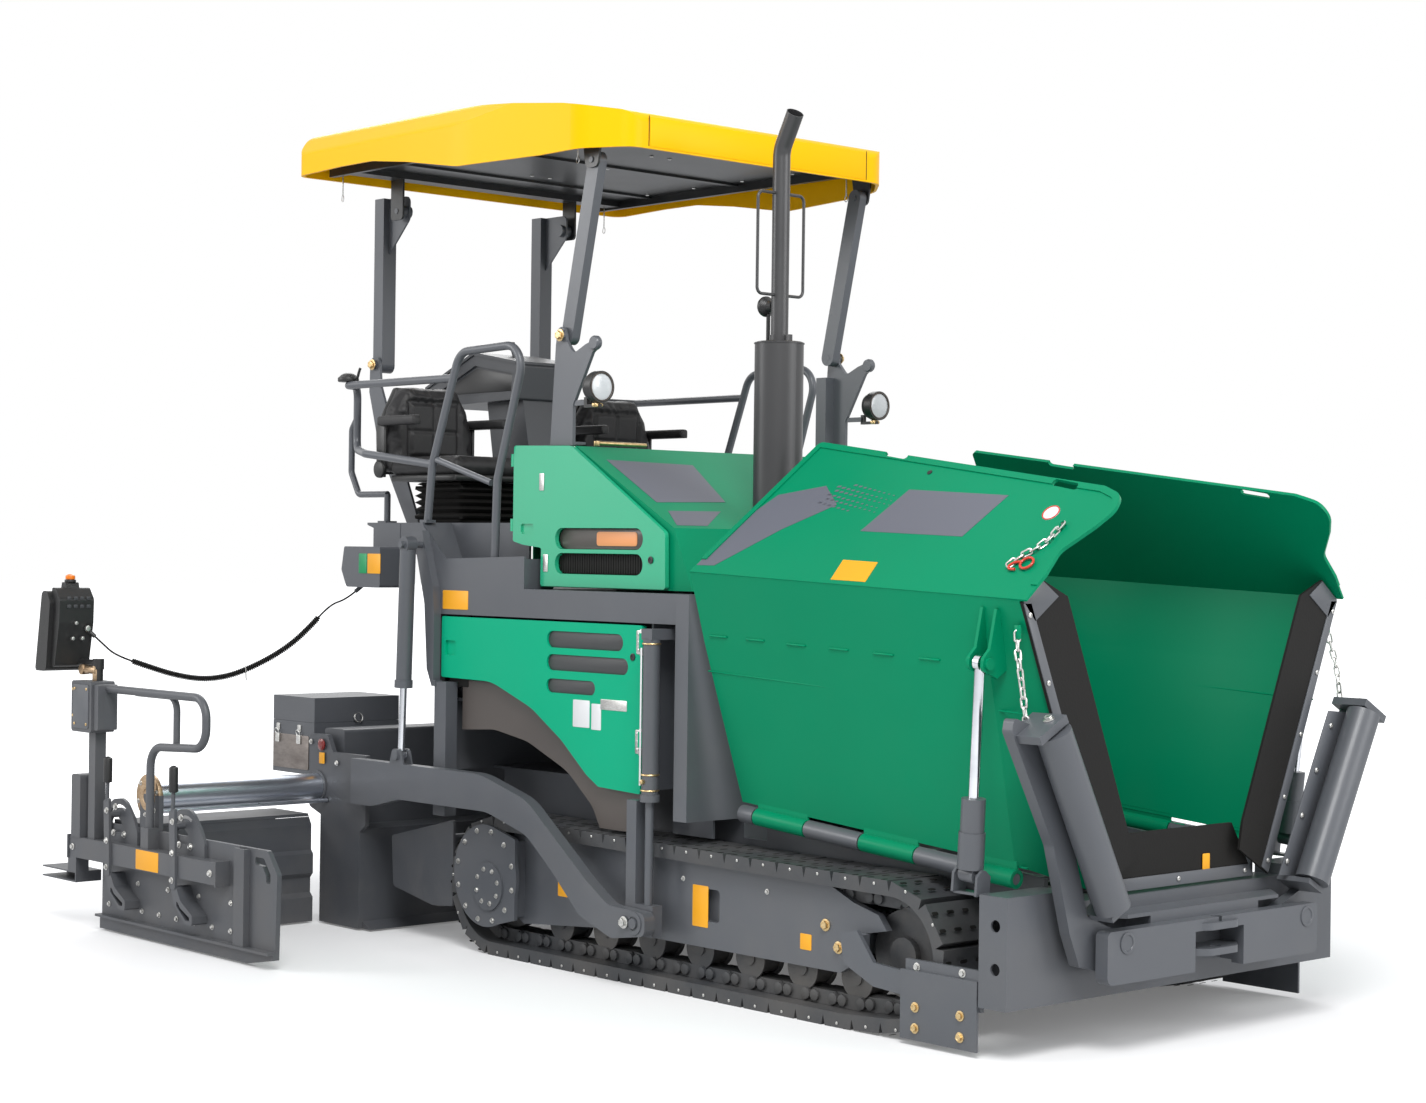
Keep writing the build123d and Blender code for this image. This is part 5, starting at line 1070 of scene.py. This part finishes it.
def dress_doors(side):
    covers = [side_plate(side, (-0.19, low), (far, high), 0.8405, 0.0015, (high - low) / 2 - 0.001)
              for low, high, far in ((1.246, 1.311, 0.271), (1.157, 1.22, 0.302), (1.07, 1.125, 0.108))]
    settle(covers, f"vent_mesh_{side}", vent_grey, "lower_door_" + side)
    y = sides[side] * 0.812
    seal = [block((x, y - 0.01, z), (far, y + 0.01, top), 0.004) for x, far, z, top in (
        (-0.985, -0.86, 1.06, 1.385), (-0.9, -0.74, 1.335, 1.385), (-0.9, -0.74, 1.06, 1.14))]
    settle(seal, f"door_seal_{side}", black_rubber)


def dress_push_arm(side):
    s, body = sides[side], "push_arm_" + side
    shape = [(0.742, 1.085), (0.86, 1.075), (0.585, 0.5), (0.45, 0.515)]
    settle(facing_plate(side, 2.332, shape, 0.0055, 0.0012), f"push_arm_plate_{side}", anthracite, body)
    spots = line((0.752, 1.03), (0.494, 0.56), 4)
    bolts(f"push_arm_bolts_{side}", on_front(side, 2.332, spots), zinc, body, 1.1, round_bolt)
    top = [((2.38, s * 0.87, 1.1134), (0, s * 0.469, 0.883))]
    bolts(f"push_arm_top_bolts_{side}", top, zinc, body, 1.3)


def dress_bumper():
    corners = ((-0.43, 0.506), (0.43, 0.506), (0.405, 0.548), (-0.405, 0.548))
    settle(cut_plate([(2.2335, y, z) for y, z in corners], 0.006, 0.001), "bottom_strip", anthracite)
    spots = on_front("L", 2.2335, [(-0.38, 0.527), (0.0, 0.527), (0.38, 0.527)])
    bolts("bottom_strip_bolts", spots, zinc, "machine", 0.9, round_bolt)
    settle([disc((2.398, y, 0.372), (0.006, 0, 0), 0.036, 40, 0.0015, [(0.007, 0.0), (0.002, -0.003)])
            for y in (-0.485, 0.52)], "bumper_discs", anthracite)
    sign = plate((2.23, 0.16, 0.5745), *facing_front, 0.04, 0.055, 0.0015, 0.004)
    settle(sign, "bumper_sign", sign_yellow)


def dress_panel(side):
    s, body = sides[side], "extension_" + side
    base = Vector((-2.222, s * 1.823, 1.4615))
    settle(disc(base, (0, 0, 0.012), 0.024, 32, 0.002), f"button_collar_{side}", black_plastic, body)
    head = disc(base + Vector((0, 0, 0.012)), (0, 0, 0.018), 0.0205, 32, 0.004,
                [(0.004, 0.003), (0.004, 0.0015), (0.002, -0.002)])
    settle(head, f"stop_button_{side}", signal_orange, body)
    knobs = [disc((-2.161, s * y, z), (0.015, 0, 0), radius, 24, 0.0015, [(0.004, 0.0), (0.001, 0.003)])
             for y, z, radius in ((1.776, 1.267, 0.0125), (1.8, 1.225, 0.008), (1.845, 1.225, 0.008),
                                  (1.83, 1.29, 0.008))]
    settle(knobs, f"panel_knobs_{side}", zinc, body)
    keys = [plate((-2.1602, s * y, z), *facing_front, 0.019, 0.015, 0.003, 0.003)
            for z in (1.395, 1.361) for y in (1.77, 1.8, 1.83, 1.86)]
    settle(keys, f"panel_keys_{side}", track_grey, body)
    arm = [disc((-2.15, s * 1.79, 1.094), (0.11, 0, 0), 0.017),
           disc((-2.15, s * 1.772, 1.094), (0, s * 0.036, 0), 0.022),
           disc((-2.052, s * 1.79, 1.05), (0, 0, 0.062), 0.014)]
    settle(arm, f"panel_arm_{side}", bronze, body)
    latches = [disc((-2.176, s * 1.783, z), (0.007, 0, 0), 0.02) for z in (1.02, 0.91)]
    latches += [disc((-2.171, s * 1.802, z), (0.021, s * 0.04, 0), 0.006, 12) for z in (1.012, 0.902)]
    settle(latches, f"case_latches_{side}", brass, body)


def dress_screed(side):
    s = sides[side]
    glass = disc((-1.636, s * screed_y, 0.772), (0, s * 0.006, 0), 0.026, 36, 0.002,
                 [(0.005, 0.003), (0.006, 0.001)])
    settle(glass, f"red_reflector_{side}", dark_red, "screed")
    clips = []
    for x in (-2.105, -1.935):
        clips.append(side_plate(side, (x - 0.016, 0.752), (x + 0.016, 0.792), 0.853, 0.006))
        clips.append(side_plate(side, (x - 0.013, 0.805), (x + 0.013, 0.836), 0.85, 0.005))
        clips.append(ring((x, s * 0.86, 0.8), (0, 1, 0.3), 0.014, 0.0025, 20, 6))
    settle(clips, f"tool_box_latches_{side}", zinc, "screed")
    loop = ring((-1.8095, s * 0.625, 0.868), (1, 0, 0.25), 0.021, 0.0032, 24)
    settle(loop, f"staple_ring_{side}", zinc, "screed")


def dress_station():
    """Console panels, and the cap with its lever on the right rail."""
    shape = [(-1.815, 2.325), (-1.312, 2.328), (-1.306, 2.396), (-1.572, 2.438), (-1.825, 2.342)]
    for side, s in sides.items():
        corners = [(x, s * 0.1695, z) for x, z in (shape if s < 0 else shape[::-1])]
        settle(cut_plate(corners, 0.002, 0.0005), f"console_panel_{side}", black_plastic)
    cap = disc((-1.655, -0.806, 2.346), (0, 0, 0.02), 0.046, 40, 0.004,
               [(0.01, 0.01), (0.01, 0.006), (0.01, 0.003)])
    lever = [(x, -0.806, z) for x, z in ((-1.615, 2.356), (-1.585, 2.358), (-1.577, 2.384), (-1.565, 2.402))]
    settle([cap, bent_rod(lever, 0.006)], "rail_cap", black_plastic, angle=50)
    rod = [round_bar((-0.25, -0.56, 2.058), (-0.25, -0.3, 2.058), 0.008),
           round_bar((-0.25, -0.56, 2.046), (-0.25, -0.56, 2.066), 0.012)]
    settle(rod, "hood_latch_rod", brass)


def dress_cylinders(side):
    s = sides[side]
    collars = [ring((0.5, s * 0.905, z), (0, 0, 1), 0.0325, 0.0035, 32) for z in (0.742, 0.8, 1.285)]
    collars.append(disc((0.5, s * 0.934, 0.775), (0, s * 0.016, 0), 0.009, 6))
    settle(collars, f"level_fittings_{side}", brass)


dress_roof()
dress_bumper()
dress_station()
for side in sides:
    for dress in (dress_side, dress_lamp, dress_flap, dress_doors, dress_push_arm, dress_panel, dress_screed,
                  dress_cylinders):
        dress(side)


# ---- light and floor ----
def seen_directly(tree, *kinds):
    """1 for the camera's own rays and for those of the kinds named, 0 for the rest."""
    path = node(tree, "LightPath", {})
    share = path.outputs["Is Camera Ray"]
    for kind in kinds:
        share = maths(tree, share, path.outputs[f"Is {kind} Ray"], "MAXIMUM")
    return share


def light_studio():
    scene = bpy.context.scene
    scene.view_settings.view_transform = "Standard"
    scene.world = bpy.data.worlds.new("Studio")
    scene.world.use_nodes = True
    tree = scene.world.node_tree
    sky = tree.nodes["Background"]
    feed(tree, sky, {"Color": (0.94, 0.96, 1.0, 1.0), "Strength": 0.62})
    white = node(tree, "Background", {"Color": (1, 1, 1, 1)})
    seen = node(tree, "MixShader", {0: seen_directly(tree, "Glossy", "Transmission"), 1: sky.outputs[0],
                                    2: white.outputs[0]})
    feed(tree, tree.nodes["World Output"], {"Surface": seen.outputs[0]})
    for name, place, size, power in (
            ("Key", (5.5, -5.0, 8.0), 4.5, 640), ("Fill", (8.5, 3.0, 4.5), 5.0, 230),
            ("Back", (-7.0, 4.0, 7.0), 5.0, 200), ("Side", (-7.0, -8.0, 5.2), 4.5, 300)):
        lamp = bpy.data.lights.new(name, "AREA")
        lamp.shape = "DISK"
        lamp.size = size
        lamp.energy = power
        item = new_object(name, lamp)
        item.location = place
        item.rotation_euler = (Vector((0, 0, 1.2)) - Vector(place)).to_track_quat("-Z", "Y").to_euler()


def lay_floor():
    """Pale floor that turns plain white away from the machine and keeps its shadow."""
    deselect()
    bpy.ops.mesh.primitive_plane_add(size=160, location=(0, 0, 0))
    floor = bpy.context.object
    floor.name = "Floor"
    material, tree, shader = new_material("Pale floor")
    distance = node(tree, "VectorMath", {0: object_place(tree)}, operation="LENGTH").outputs["Value"]
    away = spread(tree, distance, 2.4, 6.5, 0.16, 1.0)
    feed(tree, shader, {"Base Color": (0.8, 0.8, 0.8, 1), "Roughness": 0.9, "Specular IOR Level": 0.0,
                        "Emission Color": (1, 1, 1, 1),
                        "Emission Strength": maths(tree, away, seen_directly(tree, "Transmission"))})
    floor.data.materials.append(material)


light_studio()
lay_floor()
for pattern in (hex_bolt, round_bolt, chain_link):
    bpy.data.objects.remove(pattern)
